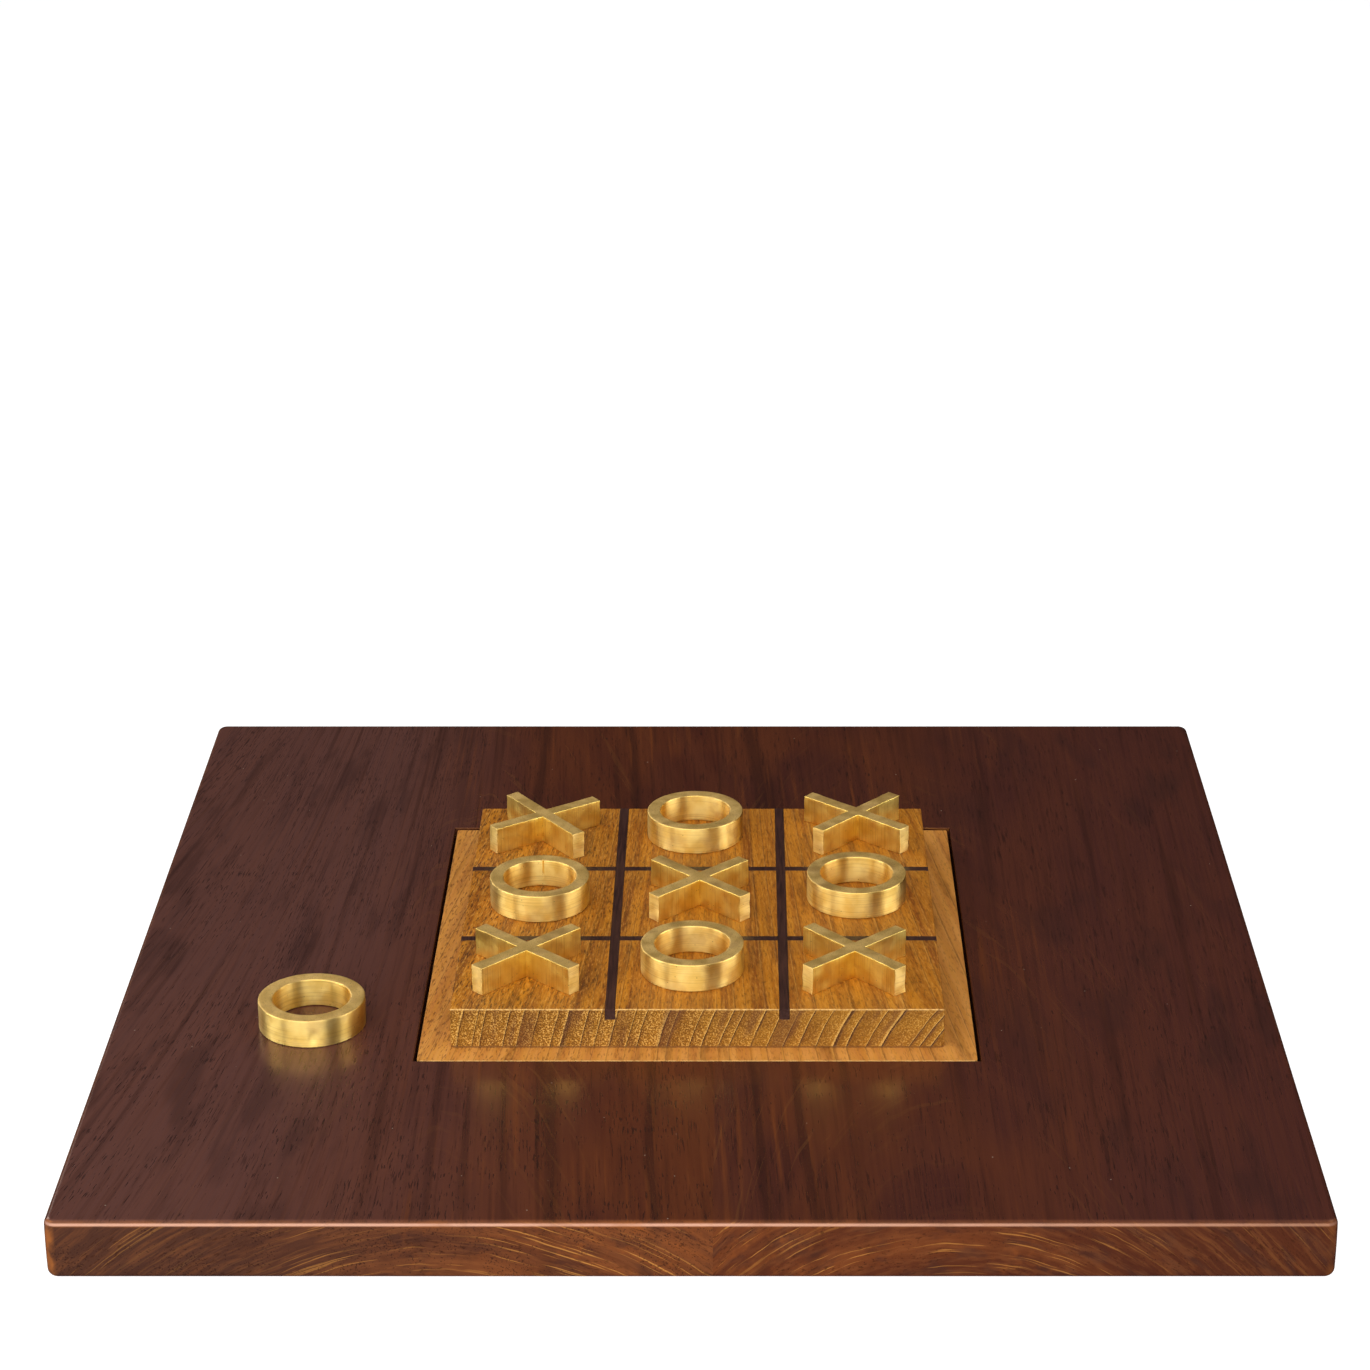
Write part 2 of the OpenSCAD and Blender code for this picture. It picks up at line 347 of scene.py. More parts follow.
def ring_lined(tree, wood, rings, end_grain, dim_place, seed):
    """Orange ring lines and dark dashes, which show best across the end."""
    line = patterned(tree, rings, (46, 90, 0.7), 2.0, seed + 29.0, 0.61, 0.67)
    gathered = patterned(tree, rings, (60, 200, 14), 2.0, seed + 23.0, 0.42, 0.6, 0.25, 1.0)
    strength = add_node(tree, "ShaderNodeMapRange", (end_grain, 0.0, 1.0, 0.05, 0.62), **EASED)
    not_dim = add_node(tree, "ShaderNodeMath", (dim_place, -0.8, 1.0), operation="MULTIPLY_ADD")
    wood = stained(tree, wood, "#b07838", line, gathered, product(tree, strength, not_dim))
    dashes = patterned(tree, rings, (3.2, 30, 0.7), 1.0, seed + 53.0, 0.56, 0.66)
    gathered = patterned(tree, rings, (20, 90, 5), 2.0, seed + 55.0, 0.46, 0.62, 0.1, 0.8)
    on_end = add_node(tree, "ShaderNodeMapRange", (end_grain, 0.8, 1.0), **EASED)
    return stained(tree, wood, "#2e160c", dashes, gathered, on_end, 0.7)


print("warm streaks gather within", WARM_REACH[1], "mm of the middle")

# %% [markdown]
# Short dark pores lie along the grain and show as faint dips in the lacquer. Handling has rubbed colour off
# the upright corners, and a few light specks of dust lie on top. A pale cream line along the front arris is
# painted highlight. The boards carry two attributes, which say where an arris is rubbed and where the painted
# highlight lies.

# %% Pores and wear
PORE_SIZE = (0.7, 7.0, 0.7)
FULL_PORE_LIMIT = 0.74


def open_pores(tree, place, arris, openness, seed):
    """A share that is 1 in the pores. More openness lets more of them show."""
    pores = grain(tree, place, PORE_SIZE, 1.0, seed + 31.0)
    limit = patterned(tree, place, (22, 50, 22), 2.0, seed + 37.0,
                      0.34, 0.62, FULL_PORE_LIMIT, FULL_PORE_LIMIT - openness)
    past_limit = add_node(tree, "ShaderNodeMath", (pores, limit), operation="SUBTRACT")
    shown = add_node(tree, "ShaderNodeMapRange", (past_limit, 0.0, 0.06), **EASED)
    off_arris = add_node(tree, "ShaderNodeMath", (1.0, arris), operation="SUBTRACT")
    return product(tree, shown, off_arris)


def worn(tree, wood, place, pores, arris, seed):
    """Pores, rubbed arrises, a painted highlight along the front arris, and specks of dust."""
    wood = stained(tree, wood, "#1a0e0e", pores, 0.6)
    uneven = patterned(tree, place, (9, 9, 9), 3.0, seed + 47.0, 0.3, 0.6)
    wood = stained(tree, wood, "#a4602a", arris, uneven, 0.75)
    # Painted highlight: a pale cream line along the front arris, where the rounded edge catches the light.
    painted_highlight = add_node(tree, "ShaderNodeAttribute", attribute_name="painted_highlight_arris").outputs["Fac"]
    uneven = patterned(tree, place, (14, 9, 9), 3.0, seed + 59.0, 0.2, 0.5, 0.6, 1.0)
    wood = stained(tree, wood, "#ad8472", painted_highlight, uneven)
    return stained(tree, wood, "#a89482", speckled(tree, place, 13.0, 0.34), 0.6)


print("pores are", PORE_SIZE[1], "mm long")

# %% [markdown]
# The lacquer is the Principled shader's own dielectric layer, at an IOR of 1.5. It is satin: rubbed down by
# hand, a little uneven, and faintly wavy over the wood, so that it mirrors softly. The film is slightly
# amber, and a warm tint on the specular gives that to the eye.

# %% Lacquered hardwood
SLAB_SIDE = 472


def lacquered_hardwood(name, pith, taper, fan, dim, top_tones, end_tones, streaks, openness, seed):
    """One board's wood. Dim gives where the third tone starts and is full, and its share. On the left board
    that top tone is a lighter, greyer plum: partly the wood's own tone, partly painted sheen of light from
    the back left on the lacquer.
    """
    material, tree, shader = new_material(name)
    place = fanned(tree, millimetres(tree), -SLAB_SIDE / 2, *fan)
    axes = add_node(tree, "ShaderNodeSeparateXYZ", (place,)).outputs
    rings, distance = tree_place(tree, place, *pith, taper, 9.0, 1.3, seed)
    to_front = add_node(tree, "ShaderNodeMath", (outward(tree)[1],), operation="ABSOLUTE")
    end_grain = add_node(tree, "ShaderNodeMapRange", (to_front, 0.5, 0.9), **EASED)
    drift = grain(tree, place, (70, 260, 70), 2.0, seed + 2.0)
    drift = add_node(tree, "ShaderNodeMath", (drift, 0.5), operation="SUBTRACT")
    across = add_node(tree, "ShaderNodeMath", (drift, 36.0, axes[0]), operation="MULTIPLY_ADD")
    bands = ring_noise(tree, distance, 9.0, 3.0, seed)
    bands = add_node(tree, "ShaderNodeMapRange", (bands, 0.3, 0.7), **EASED)
    dim_start, dim_full, dim_share = dim
    dim_place = (across, dim_start, dim_full, 0.0, dim_share)
    dim_place = add_node(tree, "ShaderNodeMapRange", dim_place, **EASED)

    wood = long_grain(tree, place, bands, dim_place, top_tones, seed)
    wood = stained(tree, wood, end_grain_colour(tree, rings, bands, dim_place, end_tones, seed), end_grain)
    wood = streaked(tree, wood, place, axes[0], across, end_grain, streaks, seed)
    wood = ring_lined(tree, wood, rings, end_grain, dim_place, seed)
    arris = add_node(tree, "ShaderNodeAttribute", attribute_name="arris").outputs["Fac"]
    pores = open_pores(tree, place, arris, openness, seed)
    wood = worn(tree, wood, place, pores, arris, seed)

    waves = product(tree, grain(tree, place, (22, 30, 22), 1.0, seed + 41.0), 0.10)
    height = add_node(tree, "ShaderNodeMath", (pores, -0.02, waves), operation="MULTIPLY_ADD")
    haze = patterned(tree, place, (30, 60, 30), 2.0, seed + 43.0, 0.3, 0.7, 0.20, 0.265)
    surfaced(tree, shader, wood, haze, height)
    fill(tree, shader, {"IOR": 1.5, "Specular IOR Level": 0.42, "Specular Tint": "#ffb87c"})
    return material


# The left board's third top tone, #543631, lightens and greys its top towards the left end: painted sheen of
# light from the back left on the lacquer, over the wood's own plum.
left_board_wood = lacquered_hardwood(
    "lacquered_hardwood_left_board", (-95.0, -148.0), 0.10, (-230.0, -60.0, 0.2, -0.05),
    (-20.0, -190.0, 0.85), ("#3f1b13", "#4b2417", "#543631"),
    ("#522b19", "#6b3a1d", "#36221d"), ((-54.0, 5.0), (-15.0, 4.0)), 0.145, 1.0)
right_board_wood = lacquered_hardwood(
    "lacquered_hardwood_right_board", (98.0, -116.0), 0.12, (0.0, 230.0, -0.04, 0.02),
    (40.0, 200.0, 0.8), ("#3d1c16", "#482318", "#41201c"),
    ("#4b2415", "#603118", "#3d1c13"), ((24.0, 4.0), (46.0, 5.0)), 0.075, 4.0)
print("made:", left_board_wood.name, right_board_wood.name)

# %% [markdown]
# A mesh made from points needs its faces turned outwards and its shading settled. Faces that meet at a
# small angle are shaded as one curve, sharper edges stay crisp, and weighted normals keep the wide flat
# faces flat beside their rounded arrises.

# %% Finish a mesh
SMOOTH_ANGLE = 35


def made_plain(piece, smooth_angle=SMOOTH_ANGLE):
    """Replaces a piece's mesh by what its modifiers make of it, and settles its shading."""
    for step in ("form", "shading"):
        evaluated = piece.evaluated_get(bpy.context.evaluated_depsgraph_get())
        mesh = bpy.data.meshes.new_from_object(evaluated)
        piece.modifiers.clear()
        piece.data = mesh
        if step == "form":
            mesh.name = piece.name + "_mesh"
            mesh.shade_smooth()
            mesh.set_sharp_from_angle(angle=math.radians(smooth_angle))
            piece.modifiers.new("weighted", "WEIGHTED_NORMAL").keep_sharp = True
    print(piece.name, "has", sum(len(face.vertices) - 2 for face in mesh.polygons), "triangles")
    return piece


def finished(name, bm, material, smooth_angle=SMOOTH_ANGLE, **bevel):
    """Turns a bmesh into a piece. The bevel's settings, if any, round the edges that have a weight."""
    bmesh.ops.recalc_face_normals(bm, faces=bm.faces)
    mesh = bpy.data.meshes.new(name + "_form")
    bm.to_mesh(mesh)
    bm.free()
    mesh.materials.append(material)
    piece = bpy.data.objects.new(name, mesh)
    bpy.context.scene.collection.objects.link(piece)
    if bevel:
        modifier = piece.modifiers.new("bevel", "BEVEL")
        modifier.limit_method = "WEIGHT"
        modifier.use_clamp_overlap = False
        for setting, value in bevel.items():
            setattr(modifier, setting, value)
    return made_plain(piece, smooth_angle)


print("meshes are closed, turned outwards and shaded by angle")

# %% [markdown]
# Each board of the slab is one closed shell. Its rim is a section swept round three sides of the board:
# a soft arris at the foot, a side that swells by a tenth of a millimetre, and a tighter arris on top.
# The fourth side is the glue line, a flat cut. The recess for the block crosses the glue line, so seen from
# above each board is a C, and its top, floor, underside and glue face are plain polygons.

# %% Section and path of the rim
SLAB_CORNER_R = 4.5 * MM
SLAB_FOOT_R = 3 * MM
SLAB_TOP_R = 2.5 * MM
SIDE_SWELL = 0.1 * MM
SIDE_STEPS = 6
ARC_STEPS = 8
PLAN_PITCH = 9 * MM

left_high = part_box("slab_left_plank")[1]
SLAB_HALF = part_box("slab_right_plank")[1].x
SLAB_TOP = left_high.z
GLUE_LINE = left_high.x


def rim_section():
    """The rim's section from the underside to the top, as distances in from the slab's side and heights."""
    low, high = SLAB_FOOT_R, SLAB_TOP - SLAB_TOP_R
    foot = arc_points((SIDE_SWELL + SLAB_FOOT_R, low), SLAB_FOOT_R, 270, 180, ARC_STEPS)
    top = arc_points((SIDE_SWELL + SLAB_TOP_R, high), SLAB_TOP_R, 180, 90, ARC_STEPS)
    heights = [low + (high - low) * step / SIDE_STEPS for step in range(1, SIDE_STEPS)]
    swell = [(SIDE_SWELL * ((2 * z - low - high) / (high - low)) ** 2, z) for z in heights]
    return foot + swell + top


def plan_path(side):
    """Points round a board from the glue line's front end to its back end, each with the way in."""
    corner = SLAB_HALF - SLAB_CORNER_R
    runs = evenly(side * GLUE_LINE, corner, PLAN_PITCH)
    path = [((side * x, -SLAB_HALF), (0, 1)) for x in runs[:-1]]
    for start, end, y in ((270, 360, -corner), (0, 90, corner)):
        for step in range(ARC_STEPS + 1):
            turn = math.radians(start + (end - start) * step / ARC_STEPS)
            out = (math.cos(turn), math.sin(turn))
            place = (side * (corner + SLAB_CORNER_R * out[0]), y + SLAB_CORNER_R * out[1])
            path.append((place, (-side * out[0], -out[1])))
        if y < 0:
            side_runs = evenly(-corner, corner, PLAN_PITCH)[1:-1]
            path += [((side * SLAB_HALF, run), (-side, 0)) for run in side_runs]
    return path + [((side * x, SLAB_HALF), (0, -1)) for x in reversed(runs[:-1])]


print("the slab's side is", round(2 * SLAB_HALF / MM), "mm, the glue line is at", round(GLUE_LINE / MM, 1))

# %% [markdown]
# The wear, and the painted highlight on the front arris, are set on the rim's points, because only the mesh
# knows where its arrises are. Two functions say how much colour is rubbed off and how strong the painted
# highlight is, a pale line along the front arris, and the material reads both as attributes.

# %% Wear and painted highlight on the rim
CORNER_WEAR = 2.4
TOP_ARRIS_WEAR = 0.55
UNWORN_TOP = 0.1
BOARD_WEAR = {-1: 0.7, 1: 0.25}
# The painted highlight on the front arris: where it peaks up the arris, how fast it falls off, its strength,
# and where it ends to the right.
PAINTED_HIGHLIGHT_MIDDLE = 0.47
PAINTED_HIGHLIGHT_FALLOFF = 0.175
PAINTED_HIGHLIGHT_STRENGTH = 1.45
PAINTED_HIGHLIGHT_END_X = 350 * MM


def up_top_arris(z):
    """How far a height is up the curve of the top arris: 0 at its start and 1 at the slab's top."""
    return (z - (SLAB_TOP - SLAB_TOP_R)) / SLAB_TOP_R


def rubbed_share(in_x, in_y, z):
    """How much of the colour is rubbed off: most on the upright corners, less along the top arris."""
    corner = min(1.0, CORNER_WEAR * min(abs(in_x), abs(in_y)))
    up = up_top_arris(z)
    along_top = TOP_ARRIS_WEAR * math.sin(math.pi * up) if 0 < up < 1 else 0.0
    return max(corner if z < SLAB_TOP - UNWORN_TOP * SLAB_TOP_R else 0.0, along_top)


def painted_highlight_share(x, in_y, z):
    """How strong the painted highlight on the front arris is: most along its middle, and less towards the
    right.
    """
    up = up_top_arris(z)
    core = min(1.0, max(0.0, PAINTED_HIGHLIGHT_STRENGTH - abs(up - PAINTED_HIGHLIGHT_MIDDLE) / PAINTED_HIGHLIGHT_FALLOFF)) if 0 < up < 1 else 0.0
    return core * max(0.0, in_y) * min(1.0, 1.0 - x / PAINTED_HIGHLIGHT_END_X)


print("a corner is rubbed", rubbed_share(1, 1, 0), "and the front arris is pale",
      round(painted_highlight_share(0, 1, SLAB_TOP - SLAB_TOP_R / 2), 2))

# %% [markdown]
# Now the points can be made. The rim is a grid of columns, one for each place on the path, and each point
# wavers inwards by a few hundredths of a millimetre, as hand planing leaves it. The recess has square walls
# with a small arris at its lip, and it is 1.3 mm wider all round than the block, which drops in loose.

# %% Boards of the slab
RIM_WAVER = 0.06 * MM
RIM_WAVELENGTH = 60 * MM
RECESS_ARRIS = 0.5 * MM
RECESS_GAP = 1.3 * MM
block_low, block_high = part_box("playing_block")


def swept_rim(bm, side):
    """Sweeps the section round a board, and returns its columns of points, each from the foot to the top."""
    arris = bm.verts.layers.float.new("arris")
    painted_highlight = bm.verts.layers.float.new("painted_highlight_arris")
    rim = []
    for (x, y), (in_x, in_y) in plan_path(side):
        column = []
        for inset, z in rim_section():
            inset += RIM_WAVER * (1 + waver((x, y, z), RIM_WAVELENGTH, 3))
            point = bm.verts.new((x + inset * in_x, y + inset * in_y, z))
            point[arris] = rubbed_share(in_x, in_y, z) * BOARD_WEAR[side]
            # The pale line of painted highlight on the front arris.
            point[painted_highlight] = painted_highlight_share(x, in_y, z)
            column.append(point)
        rim.append(column)
    for near, far in zip(rim, rim[1:]):
        for low in range(len(near) - 1):
            bm.faces.new((near[low], far[low], far[low + 1], near[low + 1]))
    return rim


def recess_walls(bm, side):
    """Makes a board's half of the recess, and returns its levels of points, from the lip to the floor."""
    lip = [(RECESS_ARRIS * (1 - math.sin(a)), SLAB_TOP - RECESS_ARRIS * (1 - math.cos(a)))
           for a in (0, math.pi / 6, math.pi / 3, math.pi / 2)] + [(0, block_low.z)]
    wall_x = block_high.x + RECESS_GAP if side > 0 else block_low.x - RECESS_GAP
    front, back = block_low.y - RECESS_GAP, block_high.y + RECESS_GAP
    levels = []
    for out, z in lip:
        plan = [(GLUE_LINE, back + out), (wall_x + side * out, back + out),
                (wall_x + side * out, front - out), (GLUE_LINE, front - out)]
        levels.append([bm.verts.new((x, y, z)) for x, y in plan])
    for upper, lower in zip(levels, levels[1:]):
        for start in range(3):
            bm.faces.new((upper[start], upper[start + 1], lower[start + 1], lower[start]))
    bm.faces.new(levels[-1])
    return levels


def slab_board(name, side, material):
    bm = bmesh.new()
    rim = swept_rim(bm, side)
    levels = recess_walls(bm, side)
    top = [column[-1] for column in rim] + levels[0]
    underside = [column[0] for column in rim]
    down = [level[3] for level in levels]
    up = [level[0] for level in reversed(levels)]
    for outline in (top, underside, rim[0] + down + up + rim[-1][::-1]):
        bm.faces.new(outline)
    return finished(name, bm, material)


left_board = slab_board("left_board", -1, left_board_wood)
right_board = slab_board("right_board", 1, right_board_wood)
for board, node in ((left_board, "slab_left_plank"), (right_board, "slab_right_plank")):
    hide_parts(node)
    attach(board, "slab")

# %% [markdown]
# The playing block is one piece of teak. Its edge was cut back all round, which leaves a low border and a
# raised field, and four saw grooves take the dark strips. A lattice is a tidy way to model such joinery:
# the breaks along each axis are the marks of a marking gauge, and each box between them is either wood or
# air. Square outside edges are then given a bevel weight, so that the Bevel modifier eases them.

# %% Lattice joinery
SHARP_EDGE = math.radians(60)


def lattice_form(bm, breaks, is_wood):
    """Closes the outside of those boxes of a lattice that are wood. is_wood gets each box's middle."""
    corners = {}
    counts = [len(axis) - 1 for axis in breaks]

    def corner(index):
        if index not in corners:
            corners[index] = bm.verts.new([breaks[axis][index[axis]] for axis in range(3)])
        return corners[index]

    def filled(box):
        return is_wood(*[(breaks[axis][box[axis]] + breaks[axis][box[axis] + 1]) / 2 for axis in range(3)])

    boxes = [(i, j, k) for i in range(counts[0]) for j in range(counts[1]) for k in range(counts[2])]
    wood = {box for box in boxes if filled(box)}
    for box in wood:
        for axis in range(3):
            u, v = [other for other in range(3) if other != axis]
            for step in (0, 1):
                beside = list(box)
                beside[axis] += 2 * step - 1
                if tuple(beside) in wood:
                    continue
                index = list(box)
                index[axis] += step
                ring = []
                for du, dv in ((0, 0), (1, 0), (1, 1), (0, 1)):
                    place = list(index)
                    place[u] += du
                    place[v] += dv
                    ring.append(corner(tuple(place)))
                bm.faces.new(ring)
    bmesh.ops.recalc_face_normals(bm, faces=bm.faces)


def ease_edges(bm, width_of, widest):
    """Gives each square outside edge a bevel weight. width_of gets the edge's middle and direction."""
    weights = bm.edges.layers.float.new("bevel_weight_edge")
    for edge in bm.edges:
        if len(edge.link_faces) == 2 and edge.calc_face_angle_signed() > SHARP_EDGE:
            middle = (edge.verts[0].co + edge.verts[1].co) / 2
            direction = (edge.verts[1].co - edge.verts[0].co).normalized()
            edge[weights] = width_of(middle, direction) / widest


def refined(marks, pitch):
    """Adds breaks between the marks, so that no gap is much wider than the pitch."""
    places = []
    for start, end in zip(marks, marks[1:]):
        places += evenly(start, end, pitch)[:-1]
    return places + [marks[-1]]


print("a 10 mm gap at a pitch of 4 mm gets breaks at", [round(mark, 1) for mark in refined([0, 10], 4)])

# %% [markdown]
# Teak is oily, golden brown and ring-porous: each ring starts with a row of open pores. The pith lay to the
# right of this block and below it, so on the front end grain the ring lines lean to the right, more so at
# the right, about 6 mm apart. The border is planed smooth and looks lighter, and the sanded field is
# browner, with darker figure along the grain. A ring step runs from 0 to 1 through each ring.

# %% Teak colours and rings
BORDER_DROP = 0.6 * MM
BORDER_TOP = SLAB_TOP - BORDER_DROP
FIELD_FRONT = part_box("strip_long_left")[0].y
FIELD_TOP = block_high.z
TEAK_RING = 6.2
TEAK_LINES = [
    # Colour, where the line starts and is full in a ring step, and its strength along the grain and across it
    ("#4a280c", 0.87, 0.96, 0.4, 0.95),
    ("#d8a858", 0.11, 0.03, 0.15, 0.8),
]


def teak_colour(tree, place, distance, ring_step, end_grain, on_field):
    """The teak's colour on its border, on its field and across its end."""
    bands = ring_noise(tree, distance, 6.0, 3.0, 5.0)
    bands = add_node(tree, "ShaderNodeMapRange", (bands, 0.3, 0.7), **EASED)
    field = stained(tree, "#80460f", "#aa6914", bands)
    border = stained(tree, "#b87634", "#ce8e44", bands)
    end = stained(tree, "#a26c1d", "#76470e", ring_step)
    cloud = patterned(tree, place, (14, 30, 9), 2.0, 37.0, 0.4, 0.65)
    end = stained(tree, end, "#a87422", cloud, 0.4)
    return stained(tree, stained(tree, border, field, on_field), end, end_grain)


def teak_figure(tree, wood, place, along):
    """Fibres and darker figure along the grain."""
    fibres = patterned(tree, place, (1.3, 24, 1.3), 3.0, 9.0, 0.35, 0.65)
    wood = stained(tree, wood, "#c08026", fibres, along, 0.4)
    figure = patterned(tree, place, (7, 55, 7), 3.0, 13.0, 0.52, 0.7)
    return stained(tree, wood, "#683a12", figure, along, 0.55)


def teak_ring_lines(tree, wood, rings, ring_step, end_grain):
    """A ring ends in a dark line and starts with a light one. Returns the wood and the dark lines' share."""
    whole = patterned(tree, rings, (18, 60, 4), 2.0, 17.0, 0.3, 0.5, 0.35, 1.0)
    shares = []
    for colour, start, full, on_top, on_end in TEAK_LINES:
        line = add_node(tree, "ShaderNodeMapRange", (ring_step, start, full), **EASED)
        strength = add_node(tree, "ShaderNodeMapRange", (end_grain, 0.0, 1.0, on_top, on_end), **EASED)
        shares.append(product(tree, line, whole, strength))
        wood = stained(tree, wood, colour, shares[-1])
    return wood, shares[0]


print("teak rings are", TEAK_RING, "mm apart")

# %% [markdown]
# The open pores show as short dashes on the field, dark where they are empty and light where they hold dust
# from sanding. Across the sawn end they are a coarse stipple, fresher and lighter at the start of each ring.

# %% Teak pores
def teak_dashes(tree, wood, place, x, along, on_field):
    """Dashes on the top. Returns the wood and the dark dashes' share."""
    open_grain = add_node(tree, "ShaderNodeMapRange", (x, 20.0, -95.0, 0.45, 0.85), **EASED)
    dashes = grain(tree, place, (0.65, 3.6, 0.65), 2.0, 21.0)
    planed = add_node(tree, "ShaderNodeMapRange", (on_field, 0.0, 1.0, 0.65, 1.0), **EASED)
    on_top = product(tree, product(tree, along, planed), open_grain)
    dark = add_node(tree, "ShaderNodeMapRange", (dashes, 0.54, 0.66), **EASED)
    dark = product(tree, dark, on_top)
    wood = stained(tree, wood, "#502c0c", dark)
    light = add_node(tree, "ShaderNodeMapRange", (dashes, 0.44, 0.32), **EASED)
    return stained(tree, wood, "#c88e40", light, on_top, 0.7), dark


def teak_stipple(tree, wood, place, x, ring_step, end_grain):
    """Pores across the end. Returns the wood and the dark stipple's share."""
    stipple = grain(tree, place, (0.6, 0.8, 0.6), 1.0, 27.0)
    coarser_left = add_node(tree, "ShaderNodeMapRange", (x, -40.0, 60.0, 1.0, 0.55), **EASED)
    coarse = product(tree, end_grain, coarser_left)
    dark = add_node(tree, "ShaderNodeMapRange", (stipple, 0.52, 0.62), **EASED)
    dark = product(tree, dark, product(tree, coarse, 0.55))
    wood = stained(tree, wood, "#50300e", dark)
    ring_start = add_node(tree, "ShaderNodeMapRange", (ring_step, 0.95, 0.3, 0.2, 0.75), **EASED)
    light = add_node(tree, "ShaderNodeMapRange", (stipple, 0.46, 0.36), **EASED)
    return stained(tree, wood, "#dcaa5a", light, product(tree, coarse, ring_start)), dark


print("pores are dashes along the grain and stipple across it")

# %% [markdown]
# Light and shade are painted along the front: a ragged light line of painted highlight along the top edge of
# the end grain and along the border's front, and a dark line of painted shadow in the corner at the field's
# foot.

# %% Sanded teak
def teak_edge_highlight_and_shadow(tree, wood, place, axes, to_front):
    """A painted highlight along the front edges, ragged like torn fibres, and a painted shadow in the corner
    at the field's foot.
    """
    front = product(tree, to_front, -1.0)
    front = add_node(tree, "ShaderNodeMapRange", (front, 0.1, 0.4), **EASED)
    near = (axes[1], FIELD_FRONT / MM + 1.6, FIELD_FRONT / MM + 0.8)
    front = product(tree, front, add_node(tree, "ShaderNodeMapRange", near, **EASED))
    field_edge = (axes[2], FIELD_TOP / MM - 0.8, FIELD_TOP / MM - 0.2)
    field_edge = add_node(tree, "ShaderNodeMapRange", field_edge, **EASED)
    on_border = (axes[1], FIELD_FRONT / MM - 1.0, FIELD_FRONT / MM - 3.0)
    on_border = add_node(tree, "ShaderNodeMapRange", on_border, **EASED)
    edges = add_node(tree, "ShaderNodeMath", (field_edge, on_border), operation="MAXIMUM")
    fuzz = patterned(tree, place, (1.6, 1.6, 1.6), 2.0, 43.0, 0.35, 0.6, 0.3, 0.9)
    # Painted highlight: a ragged light line along the field's top front edge and along the border's front.
    wood = stained(tree, wood, "#dcae68", edges, product(tree, front, fuzz))
    # Painted shadow: a dark line in the corner at the field's foot.
    foot = (axes[2], BORDER_TOP / MM + 0.9, BORDER_TOP / MM + 0.3)
    foot = add_node(tree, "ShaderNodeMapRange", foot, **EASED)
    off_border = add_node(tree, "ShaderNodeMath", (1.0, on_border), operation="SUBTRACT")
    return stained(tree, wood, "#4a2a10", foot, front, off_border, 0.8)


def sanded_teak():
    material, tree, shader = new_material("sanded_oiled_teak")
    straight = millimetres(tree)
    axes = add_node(tree, "ShaderNodeSeparateXYZ", (straight,)).outputs
    to_front = outward(tree)[1]
    end_grain = add_node(tree, "ShaderNodeMath", (to_front,), operation="ABSOLUTE")
    end_grain = add_node(tree, "ShaderNodeMapRange", (end_grain, 0.6, 0.8), **EASED)
    on_field = (axes[2], BORDER_TOP / MM + 0.3, BORDER_TOP / MM + 0.9)
    on_field = add_node(tree, "ShaderNodeMapRange", on_field, **EASED)
    end_grain = product(tree, end_grain, on_field)
    along = add_node(tree, "ShaderNodeMath", (1.0, end_grain), operation="SUBTRACT")

    place = fanned(tree, straight, FIELD_FRONT / MM, -105.0, 105.0, 0.15, -0.17)
    rings, distance = tree_place(tree, place, 184.0, -31.0, 0.03, 5.0, 0.7, 2.0)
    jitter = product(tree, ring_noise(tree, distance, 9.0, 1.0, 3.0), 9.0)
    ring_step = add_node(tree, "ShaderNodeMath", (distance, jitter), operation="ADD")
    ring_step = add_node(tree, "ShaderNodeMath", (ring_step, TEAK_RING), operation="DIVIDE")
    ring_step = add_node(tree, "ShaderNodeMath", (ring_step,), operation="FRACT")

    wood = teak_colour(tree, place, distance, ring_step, end_grain, on_field)
    wood = teak_figure(tree, wood, place, along)
    wood, dark_line = teak_ring_lines(tree, wood, rings, ring_step, end_grain)
    wood, dark_dashes = teak_dashes(tree, wood, place, axes[0], along, on_field)
    wood, dark_stipple = teak_stipple(tree, wood, place, axes[0], ring_step, end_grain)
    dim = patterned(tree, rings, (40, 80, 7), 2.0, 41.0, 0.5, 0.66)
    wood = stained(tree, wood, "#5c3420", dim, end_grain, 0.5)
    wood = teak_edge_highlight_and_shadow(tree, wood, place, axes, to_front)

    depth = product(tree, dark_dashes, -0.10)
    depth = add_node(tree, "ShaderNodeMath", (dark_stipple, -0.22, depth), operation="MULTIPLY_ADD")
    end_line = product(tree, dark_line, end_grain)
    depth = add_node(tree, "ShaderNodeMath", (end_line, -0.3, depth), operation="MULTIPLY_ADD")
    polish = patterned(tree, place, (20, 40, 20), 2.0, 33.0, 0.3, 0.7, 0.45, 0.58)
    surfaced(tree, shader, wood, polish, depth)
    fill(tree, shader, {"IOR": 1.42, "Specular IOR Level": 0.3})
    return material


teak = sanded_teak()
print("made:", teak.name)

# %% [markdown]
# The block's breaks come from the boxes of the CAD strips, so that every groove lies where its strip does.
# The front corners at the field's foot have a short saw kerf, where the two cuts of the rebate ran past each
# other. The block's upright corners are rounded, and its other outside edges are eased by about a third of a
# millimetre, apart from those of the grooves, which were cut last and stay sharp against their strips.

